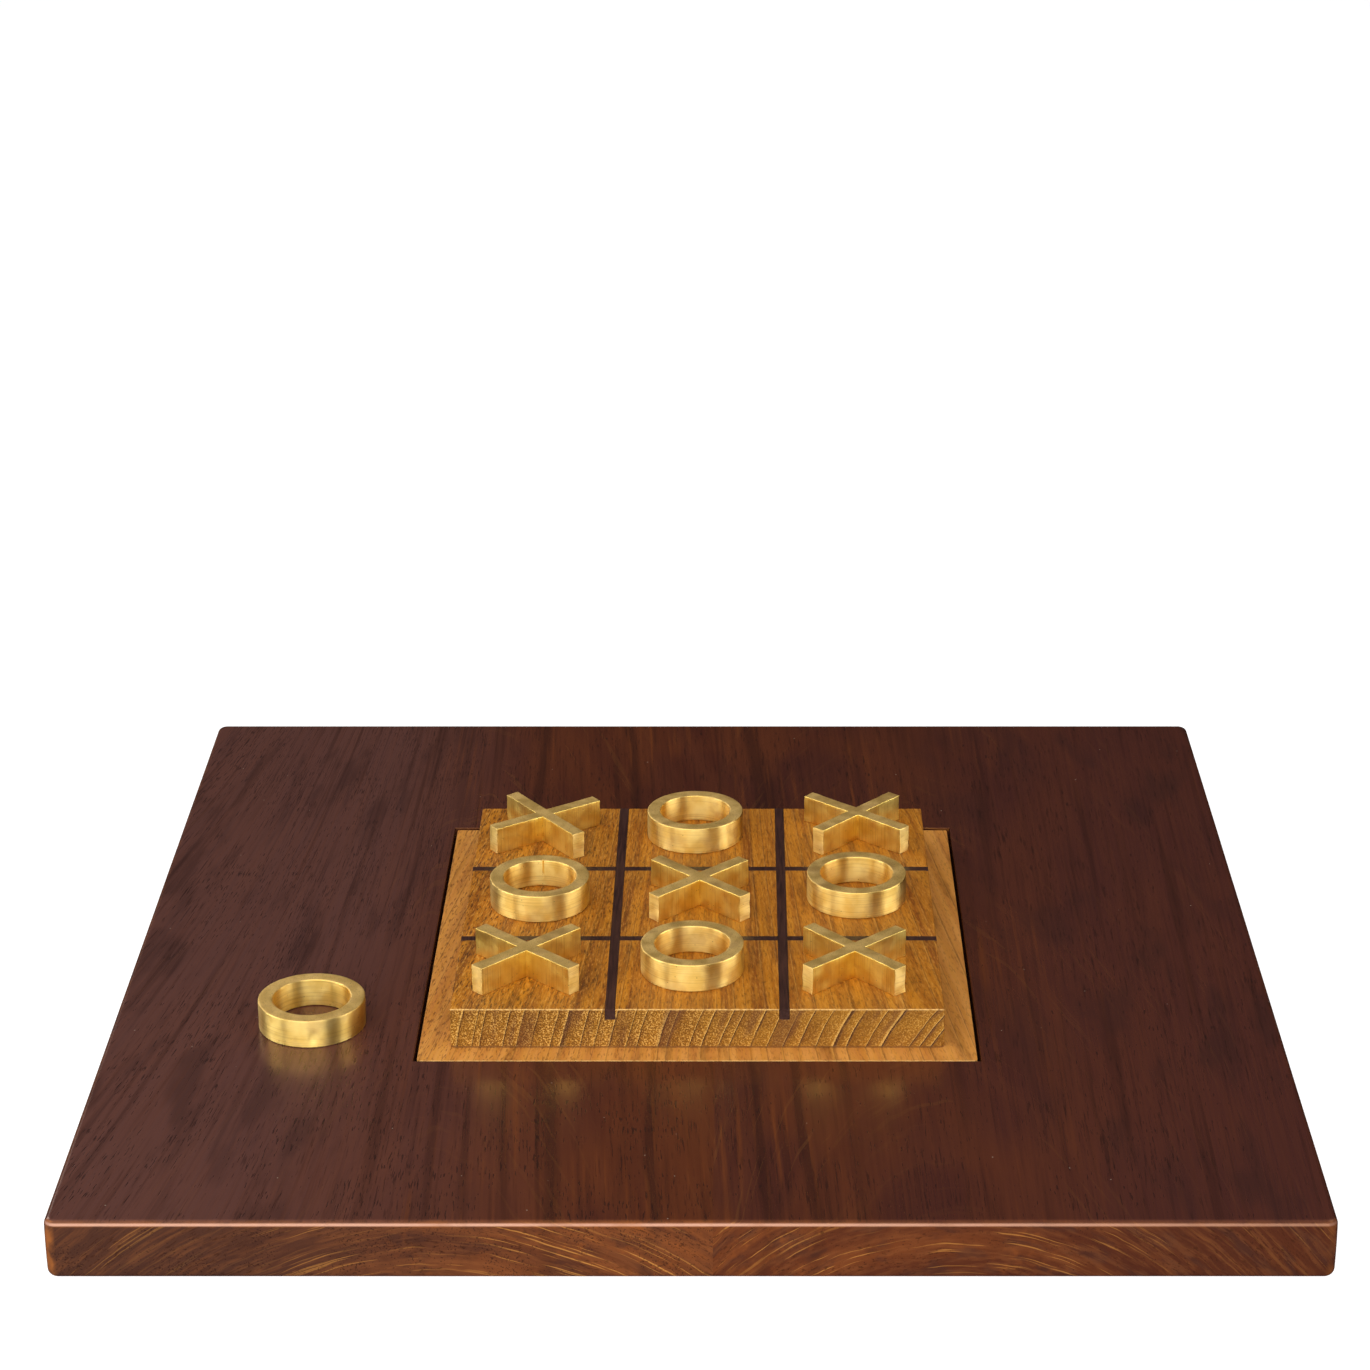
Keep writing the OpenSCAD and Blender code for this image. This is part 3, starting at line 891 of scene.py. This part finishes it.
# %% Playing block
BLOCK_CORNER_R = 2 * MM
BLOCK_ARRIS = 0.35 * MM
KERF_W = 0.8 * MM
KERF_H = 1.6 * MM
STRIP_PLAY = 0.05 * MM
BLOCK_PITCH = 12 * MM
UPRIGHT = 0.9
strip_boxes = {node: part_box(node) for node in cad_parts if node.startswith("strip_")}
GROOVE_FLOOR = strip_boxes["strip_long_left"][0].z
field_x = (strip_boxes["strip_back_left"][0].x, strip_boxes["strip_back_right"][1].x)
field_y = (strip_boxes["strip_long_left"][0].y, strip_boxes["strip_long_left"][1].y)
grooves_x = [(low.x - STRIP_PLAY, high.x + STRIP_PLAY)
             for low, high in (strip_boxes["strip_long_left"], strip_boxes["strip_long_right"])]
grooves_y = [(low.y - STRIP_PLAY, high.y + STRIP_PLAY)
             for low, high in (strip_boxes["strip_front_left"], strip_boxes["strip_back_left"])]


def is_block_wood(x, y, z):
    if z < BORDER_TOP:
        return True
    if not (field_x[0] < x < field_x[1] and field_y[0] < y < field_y[1]):
        return False
    if z > GROOVE_FLOOR and any(low < x < high for low, high in grooves_x):
        return False
    if z > GROOVE_FLOOR and any(low < y < high for low, high in grooves_y):
        return False
    past_x = min(x - field_x[0], field_x[1] - x)
    return not (z < BORDER_TOP + KERF_H and past_x < KERF_W and y - field_y[0] < KERF_W)


def block_edge(middle, direction):
    """How wide an edge of the block is eased."""
    on_side = min(middle.x - block_low.x, block_high.x - middle.x) < KERF_W
    on_end = min(middle.y - block_low.y, block_high.y - middle.y) < KERF_W
    if abs(direction.z) > UPRIGHT and on_side and on_end:
        return BLOCK_CORNER_R
    inside = field_x[0] + KERF_W < middle.x < field_x[1] - KERF_W
    inside = inside and field_y[0] + KERF_W < middle.y < field_y[1] - KERF_W
    return 0 if inside else BLOCK_ARRIS


def playing_block():
    marks_x = [block_low.x, field_x[0], field_x[0] + KERF_W, *grooves_x[0], *grooves_x[1],
               field_x[1] - KERF_W, field_x[1], block_high.x]
    marks_y = [block_low.y, field_y[0], field_y[0] + KERF_W, *grooves_y[0], *grooves_y[1],
               field_y[1], block_high.y]
    marks_z = [block_low.z, BORDER_TOP, BORDER_TOP + KERF_H, GROOVE_FLOOR, FIELD_TOP]
    bm = bmesh.new()
    breaks = (refined(marks_x, BLOCK_PITCH), refined(marks_y, BLOCK_PITCH), marks_z)
    lattice_form(bm, breaks, is_block_wood)
    ease_edges(bm, block_edge, BLOCK_CORNER_R)
    return finished("teak_block", bm, teak, width=BLOCK_CORNER_R, segments=3)


teak_block = playing_block()
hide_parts("playing_block")
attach(teak_block, "block")

# %% [markdown]
# The dividing lines are real strips of a dark purple-brown wood, sanded flush with the field.
# Eight of them repeat one form, so a geometry tree makes it once, and the rings will be made the same way.
# A tree has named inputs for its sizes. It ends in Realize Instances and Set Material, and a plain mesh is
# taken from it, because the export keeps meshes and drops instances.

# %% Geometry tree helpers
TOP_FACING = 0.6


def new_tree(name, inputs):
    """A geometry tree with named inputs. Each input is a socket kind and its default."""
    tree = bpy.data.node_groups.new(name, "GeometryNodeTree")
    tree.interface.new_socket("Geometry", in_out="INPUT", socket_type="NodeSocketGeometry")
    for label, (kind, default) in inputs.items():
        socket = tree.interface.new_socket(label, in_out="INPUT", socket_type="NodeSocket" + kind)
        if default is not None:
            socket.default_value = default
    tree.interface.new_socket("Geometry", in_out="OUTPUT", socket_type="NodeSocketGeometry")
    return tree, add_node(tree, "NodeGroupInput").outputs


def close_tree(tree, geometry, material, top_material=None):
    """Ends a tree in Realize Instances and Set Material. Faces that look up may get another material."""
    real = add_node(tree, "GeometryNodeRealizeInstances", {"Geometry": geometry})
    dressed = add_node(tree, "GeometryNodeSetMaterial", {"Geometry": real, "Material": material})
    if top_material:
        normal = add_node(tree, "GeometryNodeInputNormal").outputs[0]
        upwards = add_node(tree, "ShaderNodeSeparateXYZ", (normal,)).outputs[2]
        on_top = add_node(tree, "ShaderNodeMath", (upwards, TOP_FACING), operation="GREATER_THAN")
        dressed = add_node(tree, "GeometryNodeSetMaterial", {
            "Geometry": dressed, "Selection": on_top, "Material": top_material})
    add_node(tree, "NodeGroupOutput", (dressed,))


def grown(name, tree, values):
    """A piece made by a tree, with the tree's inputs set by their sockets' identifiers."""
    piece = bpy.data.objects.new(name, bpy.data.meshes.new(name + "_seed"))
    bpy.context.scene.collection.objects.link(piece)
    modifier = piece.modifiers.new("tree", "NODES")
    modifier.node_group = tree
    identifiers = {item.name: item.identifier for item in tree.interface.items_tree
                   if item.item_type == "SOCKET" and item.in_out == "INPUT"}
    for label, value in values.items():
        modifier[identifiers[label]] = value
    return made_plain(piece)


print("geometry trees get named inputs")

# %% [markdown]
# A strip is a rounded rectangle swept along a line, and the tree's inputs give the ends, the width and the
# easing. Each strip takes its ends from its CAD box and runs along the longer side of it.
# The wood is fine-grained, sanded and left dull, with a thread of lighter fibres.

# %% Inlay strips
STRIP_POINTS = 24
EASING_STEPS = 3


def dark_inlay():
    material, tree, shader = new_material("sanded_dark_inlay_wood")
    place = millimetres(tree)
    fibres = patterned(tree, place, (0.8, 14, 0.8), 3.0, 51.0, 0.3, 0.7)
    wood = stained(tree, "#22100e", "#3a201a", fibres)
    cloud = patterned(tree, place, (12, 30, 12), 2.0, 55.0, 0.35, 0.65)
    wood = stained(tree, wood, "#462a20", cloud, 0.35)
    polish = add_node(tree, "ShaderNodeMapRange", (fibres, 0.0, 1.0, 0.38, 0.48), **EASED)
    surfaced(tree, shader, wood, polish, product(tree, fibres, 0.04))
    fill(tree, shader, {"Specular IOR Level": 0.3})
    return material


def strip_tree(material):
    tree, given = new_tree("eased_strip", {
        "Start": ("Vector", None), "End": ("Vector", None),
        "Width": ("Float", 4 * MM), "Thickness": ("Float", 4.6 * MM), "Easing": ("Float", 0.15 * MM)})
    line = add_node(tree, "GeometryNodeCurvePrimitiveLine", {"Start": given["Start"], "End": given["End"]})
    line = add_node(tree, "GeometryNodeResampleCurve", {"Curve": line, "Count": STRIP_POINTS})
    upright = add_node(tree, "GeometryNodeSetCurveNormal", {"Curve": line}, mode="Z_UP")
    section = add_node(tree, "GeometryNodeCurvePrimitiveQuadrilateral",
                       {"Width": given["Width"], "Height": given["Thickness"]})
    eased = add_node(tree, "GeometryNodeFilletCurve",
                     {"Curve": section, "Radius": given["Easing"], "Count": EASING_STEPS}, mode="POLY")
    swept = add_node(tree, "GeometryNodeCurveToMesh",
                     {"Curve": upright, "Profile Curve": eased, "Fill Caps": True})
    close_tree(tree, swept, material)
    return tree


eased_strip = strip_tree(dark_inlay())
strips = []
for node, (low, high) in strip_boxes.items():
    span = high - low
    along = 0 if span.x > span.y else 1
    start = (low + high) / 2
    end = start.copy()
    start[along] = low[along]
    end[along] = high[along]
    strip = grown("inlay_" + node, eased_strip, {
        "Start": start, "End": end, "Width": span[1 - along], "Thickness": span.z})
    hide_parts(node)
    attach(strip, "block")
    strips.append(strip)

# %% [markdown]
# The pieces are solid brass, a yellow alloy of copper and zinc, and each tool left it looking different.
# The crosses' sides keep the upright lines of the saw, their arm ends were filed and are duller, the rings'
# walls were turned and shine in level bands, and the tops were rubbed on abrasive paper, which leaves them
# satin and a little olive. A light tarnish and a few pits lie over all of it. Brass is all metal, so
# Metallic is 1 and the IOR keeps its default. The lines are drawn half a millimetre apart, coarser than
# real tool marks, because finer ones would not show in the picture.

# %% Brass
MOTTLE_ROUGHNESS = 0.08


def worked_brass(name, line_sizes, line_depth, light, dark, roughness, seed,
                 stretch=0.0, turn=0.0, upright=False):
    """Brass whose tool marks are noise with lumps of the given sizes and depth, in millimetres. Its
    reflections are stretched, along an upright tangent if asked, and a quarter turn lays them across it."""
    material, tree, shader = new_material(name)
    place = millimetres(tree)
    lines = grain(tree, place, line_sizes, 2.0, seed)
    mottle = patterned(tree, place, (7, 7, 7), 3.0, seed + 3.0, 0.3, 0.7)
    colour = stained(tree, dark, light, mottle)
    marked = add_node(tree, "ShaderNodeMapRange", (lines, 0.30, 0.52, 0.3, 0.0), **EASED)
    colour = stained(tree, colour, "#b98a3c", marked)
    tarnish = patterned(tree, place, (9, 9, 9), 3.0, seed + 7.0, 0.5, 0.68, 0.0, 0.25)
    colour = stained(tree, colour, "#b4845a", tarnish)
    pits = speckled(tree, place, 3.2, 0.3)
    colour = stained(tree, colour, "#6e4c1c", pits, 0.5)
    height = add_node(tree, "ShaderNodeMath", (pits, -0.05, product(tree, lines, line_depth)),
                      operation="MULTIPLY_ADD")
    rough = add_node(tree, "ShaderNodeMath", (mottle, MOTTLE_ROUGHNESS, roughness - MOTTLE_ROUGHNESS / 2),
                     operation="MULTIPLY_ADD")
    surfaced(tree, shader, colour, rough, height)
    fill(tree, shader, {"Metallic": 1.0, "Anisotropic": stretch, "Anisotropic Rotation": turn})
    if upright:
        fill(tree, shader, {"Tangent": add_node(tree, "ShaderNodeCombineXYZ", {2: 1.0})})
    return material


sawn_brass = worked_brass(
    "sawn_brass_side", (0.6, 0.6, 30), 0.025, "#f8dd7a", "#eecb64", 0.42, 61.0, 0.25, 0.25, upright=True)
filed_brass = worked_brass(
    "filed_brass_end", (6, 6, 0.5), 0.02, "#f4d688", "#e9c46a", 0.55, 65.0, 0.4, 0.0, upright=True)
turned_brass = worked_brass(
    "turned_brass_wall", (30, 30, 0.5), 0.005, "#f7d984", "#ecc668", 0.42, 71.0, 0.9, 0.25)
rubbed_brass = worked_brass(
    "abrasive_rubbed_brass_top", (0.5, 1.4, 0.5), 0.03, "#f4d084", "#e8c06e", 0.56, 81.0)
print("made:", sawn_brass.name, filed_brass.name, turned_brass.name, rubbed_brass.name)

# %% [markdown]
# A cross is two flat bars in one piece. The arms were sawn by hand, so each has its own length, its end is
# a degree or two out of square, and it flares a little there. The lattice helper makes the plain cross, and
# then its points are moved by rules. Last, each face gets the brass of the tool that made it.

# %% Crosses
CROSS_ARRIS = 0.28 * MM
BAR_W = 5.8 * MM
ARM_PITCH = 1.0 * MM
HEIGHT_PITCH = 1.5 * MM
FLARE = 0.05
END_TILT = 0.035
RAGGED_MM = 0.14
RAGGED_END_MM = 0.20
RAGGED_WAVELENGTH = 4 * MM
TOP_RUBBED = 0.12 * MM
TOP_WAVELENGTH = 14 * MM
CROSS_SMOOTH_ANGLE = 40
END_FACING = 0.8
cross_low, cross_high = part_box("cross_centre")
CROSS_H = cross_high.z - cross_low.z
CROSSES = {
    # Angles of the bars in degrees, then arm lengths in mm: back right, back left, front left, front right
    "cross_back_left": (35.3, 36.0, 27.2, 26.3, 26.5, 26.9),
    "cross_back_right": (48.1, 48.7, 25.8, 27.8, 26.1, 26.8),
    "cross_centre": (44.3, 45.5, 25.8, 26.7, 26.7, 26.6),
    "cross_front_left": (44.9, 46.8, 26.9, 27.2, 26.9, 27.2),
    "cross_front_right": (42.6, 42.4, 26.3, 27.3, 26.5, 26.1),
}


def hand_sawn(place, arms, angles, seed):
    """Where a point of the plain cross lies once the arms are flared, tilted, ragged and turned."""
    x, y, z = place
    right, back, left, front = arms
    half = BAR_W / 2
    on_first = abs(x) > abs(y)
    along, across = (x, y) if on_first else (y, x)
    reach = ((front, back), (left, right))[on_first][along > 0]
    past = max(0.0, abs(along) - half) / (reach - half)
    tilt = END_TILT * waver((reach, 0, 0), 1 * MM, seed) * past ** 4
    along += math.copysign(tilt * across * 2 + tilt * (z - CROSS_H / 2), along)
    across *= 1 + FLARE * past ** 6
    new_x, new_y = (along, across) if on_first else (across, along)
    spot = (new_x, new_y, z)
    ragged = (RAGGED_MM + RAGGED_END_MM * past ** 4) * MM
    new_x += ragged * waver(spot, RAGGED_WAVELENGTH, seed + 1)
    new_y += ragged * waver(spot, RAGGED_WAVELENGTH, seed + 2)
    rubbed_off = TOP_RUBBED * (1 + waver((x, y, 0), TOP_WAVELENGTH, seed + 3)) if z > CROSS_H / 2 else 0
    turn = math.radians(angles[0] if on_first else angles[1])
    return (new_x * math.cos(turn) - new_y * math.sin(turn),
            new_x * math.sin(turn) + new_y * math.cos(turn), z - rubbed_off)


def sawn_cross(node, seed):
    arms = [arm * MM for arm in CROSSES[node][2:]]
    right, back, left, front = arms
    low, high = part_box(node)
    centre = (low + high) / 2
    half = BAR_W / 2
    bm = bmesh.new()
    breaks = (refined([-left, -half, half, right], ARM_PITCH),
              refined([-front, -half, half, back], ARM_PITCH), refined([0, CROSS_H], HEIGHT_PITCH))
    lattice_form(bm, breaks, lambda x, y, z: abs(x) < half or abs(y) < half)
    ease_edges(bm, lambda middle, direction: CROSS_ARRIS, CROSS_ARRIS)
    for vert in bm.verts:
        x, y, z = hand_sawn(vert.co, arms, CROSSES[node][:2], seed)
        vert.co = (centre.x + x, centre.y + y, low.z + z)
    cross = finished("brass_" + node, bm, sawn_brass, CROSS_SMOOTH_ANGLE, width=CROSS_ARRIS, segments=2)
    cross.data.materials.append(rubbed_brass)
    cross.data.materials.append(filed_brass)
    for face in cross.data.polygons:
        outwards = (face.center - centre).xy
        if face.normal.z > TOP_FACING:
            face.material_index = 1
        elif outwards.length > 2 * BAR_W and face.normal.xy.dot(outwards.normalized()) > END_FACING:
            face.material_index = 2
    return cross


for seed, node in enumerate(CROSSES):
    cross = sawn_cross(node, seed + 1)
    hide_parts(node)
    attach(cross, node)

# %% [markdown]
# The rings are cut from thick tube and faced on a lathe. One tree makes all five: a rounded rectangle is
# swept round a circle, a slow noise makes it as slightly uneven as a hand-finished ring, and one dent and
# one slit can be put where the real ring has them.

# %% Tube of a ring
RING_SEGMENTS = 288
LUMPS_PER_METRE = 80.0


def uneven_tube(tree, given, middle):
    """Sweeps the section round a circle through the middle of the wall, and moves its points a little."""
    circle = add_node(tree, "GeometryNodeCurvePrimitiveCircle",
                      {"Resolution": RING_SEGMENTS, "Radius": middle})
    section = add_node(tree, "GeometryNodeCurvePrimitiveQuadrilateral",
                       {"Width": given["Wall"], "Height": given["Height"]})
    section = add_node(tree, "GeometryNodeFilletCurve",
                       {"Curve": section, "Radius": given["Arris"], "Count": 4}, mode="POLY")
    section = add_node(tree, "GeometryNodeSubdivideCurve", {"Curve": section, "Cuts": 4})
    upright = add_node(tree, "GeometryNodeSetCurveNormal", {"Curve": circle}, mode="Z_UP")
    swept = add_node(tree, "GeometryNodeCurveToMesh", {"Curve": upright, "Profile Curve": section})
    spot = add_node(tree, "GeometryNodeInputPosition")
    lumps = add_node(tree, "ShaderNodeTexNoise", {
        "Vector": spot, "W": given["Seed"], "Scale": LUMPS_PER_METRE, "Detail": 2.0}, noise_dimensions="4D")
    lumps = (lumps.outputs["Color"], (0.5, 0.5, 0.5))
    lumps = add_node(tree, "ShaderNodeVectorMath", lumps, operation="SUBTRACT")
    lumps = {0: lumps, "Scale": given["Unevenness"]}
    lumps = add_node(tree, "ShaderNodeVectorMath", lumps, operation="SCALE")
    return add_node(tree, "GeometryNodeSetPosition", {"Geometry": swept, "Offset": lumps}), spot


print("a ring has", RING_SEGMENTS, "segments")

# %% [markdown]
# The slit is an upright nick in the inner wall, and the dent is a shallow hollow in the outer one. Both are
# pushes along the radius, and their depths are inputs of the tree, so that a ring without them gives 0.

# %% Slit and dent
SLIT_HALF_TURN = math.radians(1.3)
DENT_REACH = (2.9 * MM, 0.3 * MM)


def slit_and_dent(tree, given, middle, tube, spot):
    """Pushes the ring's points outwards at the slit and inwards at the dent."""
    level = add_node(tree, "ShaderNodeVectorMath", (spot, (1, 1, 0)), operation="MULTIPLY")
    radial = add_node(tree, "ShaderNodeVectorMath", (level,), operation="NORMALIZE")
    radius = add_node(tree, "ShaderNodeVectorMath", (level,), operation="LENGTH")
    towards = add_node(tree, "ShaderNodeVectorMath", (radial, given["Slit way"]), operation="DOT_PRODUCT")
    slit = (towards, math.cos(SLIT_HALF_TURN), 1.0, 0.0, given["Slit depth"])
    slit = add_node(tree, "ShaderNodeMapRange", slit, **EASED)
    inner = add_node(tree, "ShaderNodeMath", (radius, middle), operation="LESS_THAN")
    upwards = add_node(tree, "ShaderNodeSeparateXYZ", (spot,)).outputs[2]
    upper = add_node(tree, "ShaderNodeMapRange", (upwards, -3 * MM, 4 * MM), **EASED)
    slit = product(tree, slit, inner, upper)
    away = add_node(tree, "ShaderNodeVectorMath", (spot, given["Dent place"]), operation="DISTANCE")
    dent = add_node(tree, "ShaderNodeMapRange", (away, *DENT_REACH, 0.0, given["Dent depth"]), **EASED)
    push = add_node(tree, "ShaderNodeMath", (slit, dent), operation="SUBTRACT")
    push = add_node(tree, "ShaderNodeVectorMath", {0: radial, "Scale": push}, operation="SCALE")
    return add_node(tree, "GeometryNodeSetPosition", {"Geometry": tube, "Offset": push})


def ring_tree(wall_material, top_material):
    tree, given = new_tree("ring_from_tube", {
        "Centre": ("Vector", None), "Outer diameter": ("Float", 42 * MM), "Wall": ("Float", 5.7 * MM),
        "Height": ("Float", 12 * MM), "Arris": ("Float", 0.5 * MM), "Unevenness": ("Float", 0.16 * MM),
        "Slit way": ("Vector", None), "Slit depth": ("Float", 0.0),
        "Dent place": ("Vector", None), "Dent depth": ("Float", 0.0), "Seed": ("Float", 0.0)})
    middle = add_node(tree, "ShaderNodeMath", (given["Outer diameter"], given["Wall"]), operation="SUBTRACT")
    middle = product(tree, middle, 0.5)
    tube, spot = uneven_tube(tree, given, middle)
    marked = slit_and_dent(tree, given, middle, tube, spot)
    placed = add_node(tree, "GeometryNodeTransform", {"Geometry": marked, "Translation": given["Centre"]})
    close_tree(tree, placed, wall_material, top_material)
    return tree


print("a slit is", round(2 * math.degrees(SLIT_HALF_TURN), 1), "degrees wide")

# %% [markdown]
# The rings take their sizes from their CAD boxes, less a little room for the unevenness. The ring at the
# left of the middle row has the slit, and the spare ring, which was cut from slightly thicker tube, has the
# dent.

# %% Rings
SLIT_TURN = math.radians(87.5)
SLIT_WAY = Vector((math.cos(SLIT_TURN), math.sin(SLIT_TURN), 0))
SLIT_DEPTH = 0.6 * MM
DENT_PLACE = Vector((2.5 * MM, -21.3 * MM, -1.5 * MM))
DENT_DEPTH = 0.9 * MM
WALL_MM = 5.7
SPARE_WALL_MM = 5.9
UNEVEN_ROOM = 0.2 * MM
HEIGHT_ROOM = 0.1 * MM
ring_from_tube = ring_tree(turned_brass, rubbed_brass)
for seed, node in enumerate(sorted(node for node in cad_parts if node.startswith("ring_"))):
    low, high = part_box(node)
    spare = node == "ring_spare"
    ring = grown("brass_" + node, ring_from_tube, {
        "Centre": (low + high) / 2, "Outer diameter": high.x - low.x - UNEVEN_ROOM, "Seed": float(seed),
        "Wall": (SPARE_WALL_MM if spare else WALL_MM) * MM, "Height": high.z - low.z - HEIGHT_ROOM,
        "Slit way": SLIT_WAY, "Slit depth": SLIT_DEPTH if node == "ring_mid_left" else 0.0,
        "Dent place": DENT_PLACE, "Dent depth": DENT_DEPTH if spare else 0.0})
    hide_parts(node)
    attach(ring, node)

# %% [markdown]
# The floor is plain and white. The photograph shows it pure white, with only a thin grey line of shadow at
# the slab's foot, so the floor gives off some light of its own, and the lights push the rest of it to white.

# %% Floor
FLOOR_SIDE = 14.0
floor_material, tree, shader = new_material("matt_white_paper")
fill(tree, shader, {"Base Color": (0.4, 0.4, 0.4, 1), "Roughness": 0.9, "Specular IOR Level": 0.0,
                    "Emission Color": (1, 1, 1, 1), "Emission Strength": 0.85})
bm = bmesh.new()
bmesh.ops.create_grid(bm, x_segments=1, y_segments=1, size=FLOOR_SIDE / 2)
mesh = bpy.data.meshes.new("paper_floor")
bm.to_mesh(mesh)
bm.free()
mesh.materials.append(floor_material)
floor = bpy.data.objects.new("paper_floor", mesh)
bpy.context.scene.collection.objects.link(floor)
floor.visible_glossy = False
print("the floor is", FLOOR_SIDE, "m square")

# %% [markdown]
# The light is a product photographer's: a wide softbox beside the camera and one overhead light everything.
# Brass wants low side lights, which draw bright upright bands on the rings. Lacquer, seen from the side,
# would mirror those as white panels, so the wooden pieces have side lights of their own, higher up, and a
# back light a little more to the side. Light linking keeps the two sets apart: a light's collection of
# receivers says which pieces it reaches or leaves out.

# %% Lights
TARGET = Vector((0, 0, 30 * MM))
SOFTBOXES = [
    # Name, azimuth and elevation in degrees, distance, width and height in metres, watts, rule for the wood
    ("front_softbox", -12, 24, 1.9, 3.0, 1.5, 50, None),
    ("overhead_softbox", 0, 82, 1.7, 1.4, 1.2, 3, None),
    ("left_softbox", -78, 16, 1.6, 1.05, 0.9, 15, "EXCLUDE"),
    ("right_softbox", 84, 16, 1.6, 1.3, 0.9, 20, "EXCLUDE"),
    ("back_left_softbox", -139, 27, 2.0, 0.8, 0.8, 8, "EXCLUDE"),
    ("left_wood_softbox", -78, 50, 1.6, 1.05, 0.9, 5.2, "INCLUDE"),
    ("right_wood_softbox", 84, 50, 1.6, 1.3, 0.9, 6.5, "INCLUDE"),
    ("back_wood_softbox", -130, 27, 2.0, 0.8, 0.8, 8, "INCLUDE"),
]


def softbox(name, azimuth, elevation, distance, width, height, watts):
    """A soft light that faces the board. The azimuth is 0 at the camera's side, and grows to the right."""
    data = bpy.data.lights.new(name, "AREA")
    data.shape = "RECTANGLE"
    data.size = width
    data.size_y = height
    data.energy = watts
    light = bpy.data.objects.new(name, data)
    around, up = math.radians(azimuth), math.radians(elevation)
    way = Vector((math.sin(around) * math.cos(up), -math.cos(around) * math.cos(up), math.sin(up)))
    light.location = TARGET + way * distance
    light.rotation_euler = way.to_track_quat("Z", "Y").to_euler()
    light.visible_camera = False
    bpy.context.scene.collection.objects.link(light)
    return light


def linked(light, pieces, state):
    """Makes a light reach only the given pieces, or all but them."""
    receivers = bpy.data.collections.new(light.name + "_receivers")
    for piece in pieces:
        receivers.objects.link(piece)
    for member in receivers.collection_objects:
        member.light_linking.link_state = state
    light.light_linking.receiver_collection = receivers


for *measures, state in SOFTBOXES:
    light = softbox(*measures)
    if state:
        linked(light, [left_board, right_board, teak_block, *strips], state)
print("lights:", [light.name for light in bpy.data.lights])

# %% [markdown]
# The room behind the board is dark, so the lacquered top, which mirrors it at a low angle, stays deep. The
# world shows white only where the camera looks straight at it.

# %% Room
LIT_WAY = (-0.05, -0.55, 0.8)
world = bpy.data.worlds.new("studio")
world.use_nodes = True
tree = world.node_tree
tree.nodes.clear()
way = add_node(tree, "ShaderNodeTexCoord").outputs["Generated"]
towards = add_node(tree, "ShaderNodeVectorMath", (way, LIT_WAY), operation="DOT_PRODUCT")
lit = add_node(tree, "ShaderNodeMapRange", (towards, -0.4, 0.8, 0.01, 0.32), **EASED)
room = add_node(tree, "ShaderNodeBackground", {"Color": (1, 1, 1, 1), "Strength": lit})
white = add_node(tree, "ShaderNodeBackground", {"Color": (1, 1, 1, 1), "Strength": 1.0})
seen = add_node(tree, "ShaderNodeLightPath").outputs["Is Camera Ray"]
mixed = add_node(tree, "ShaderNodeMixShader", (seen, room, white))
add_node(tree, "ShaderNodeOutputWorld", {"Surface": mixed})
bpy.context.scene.world = world
print("the room is brightest towards", LIT_WAY)
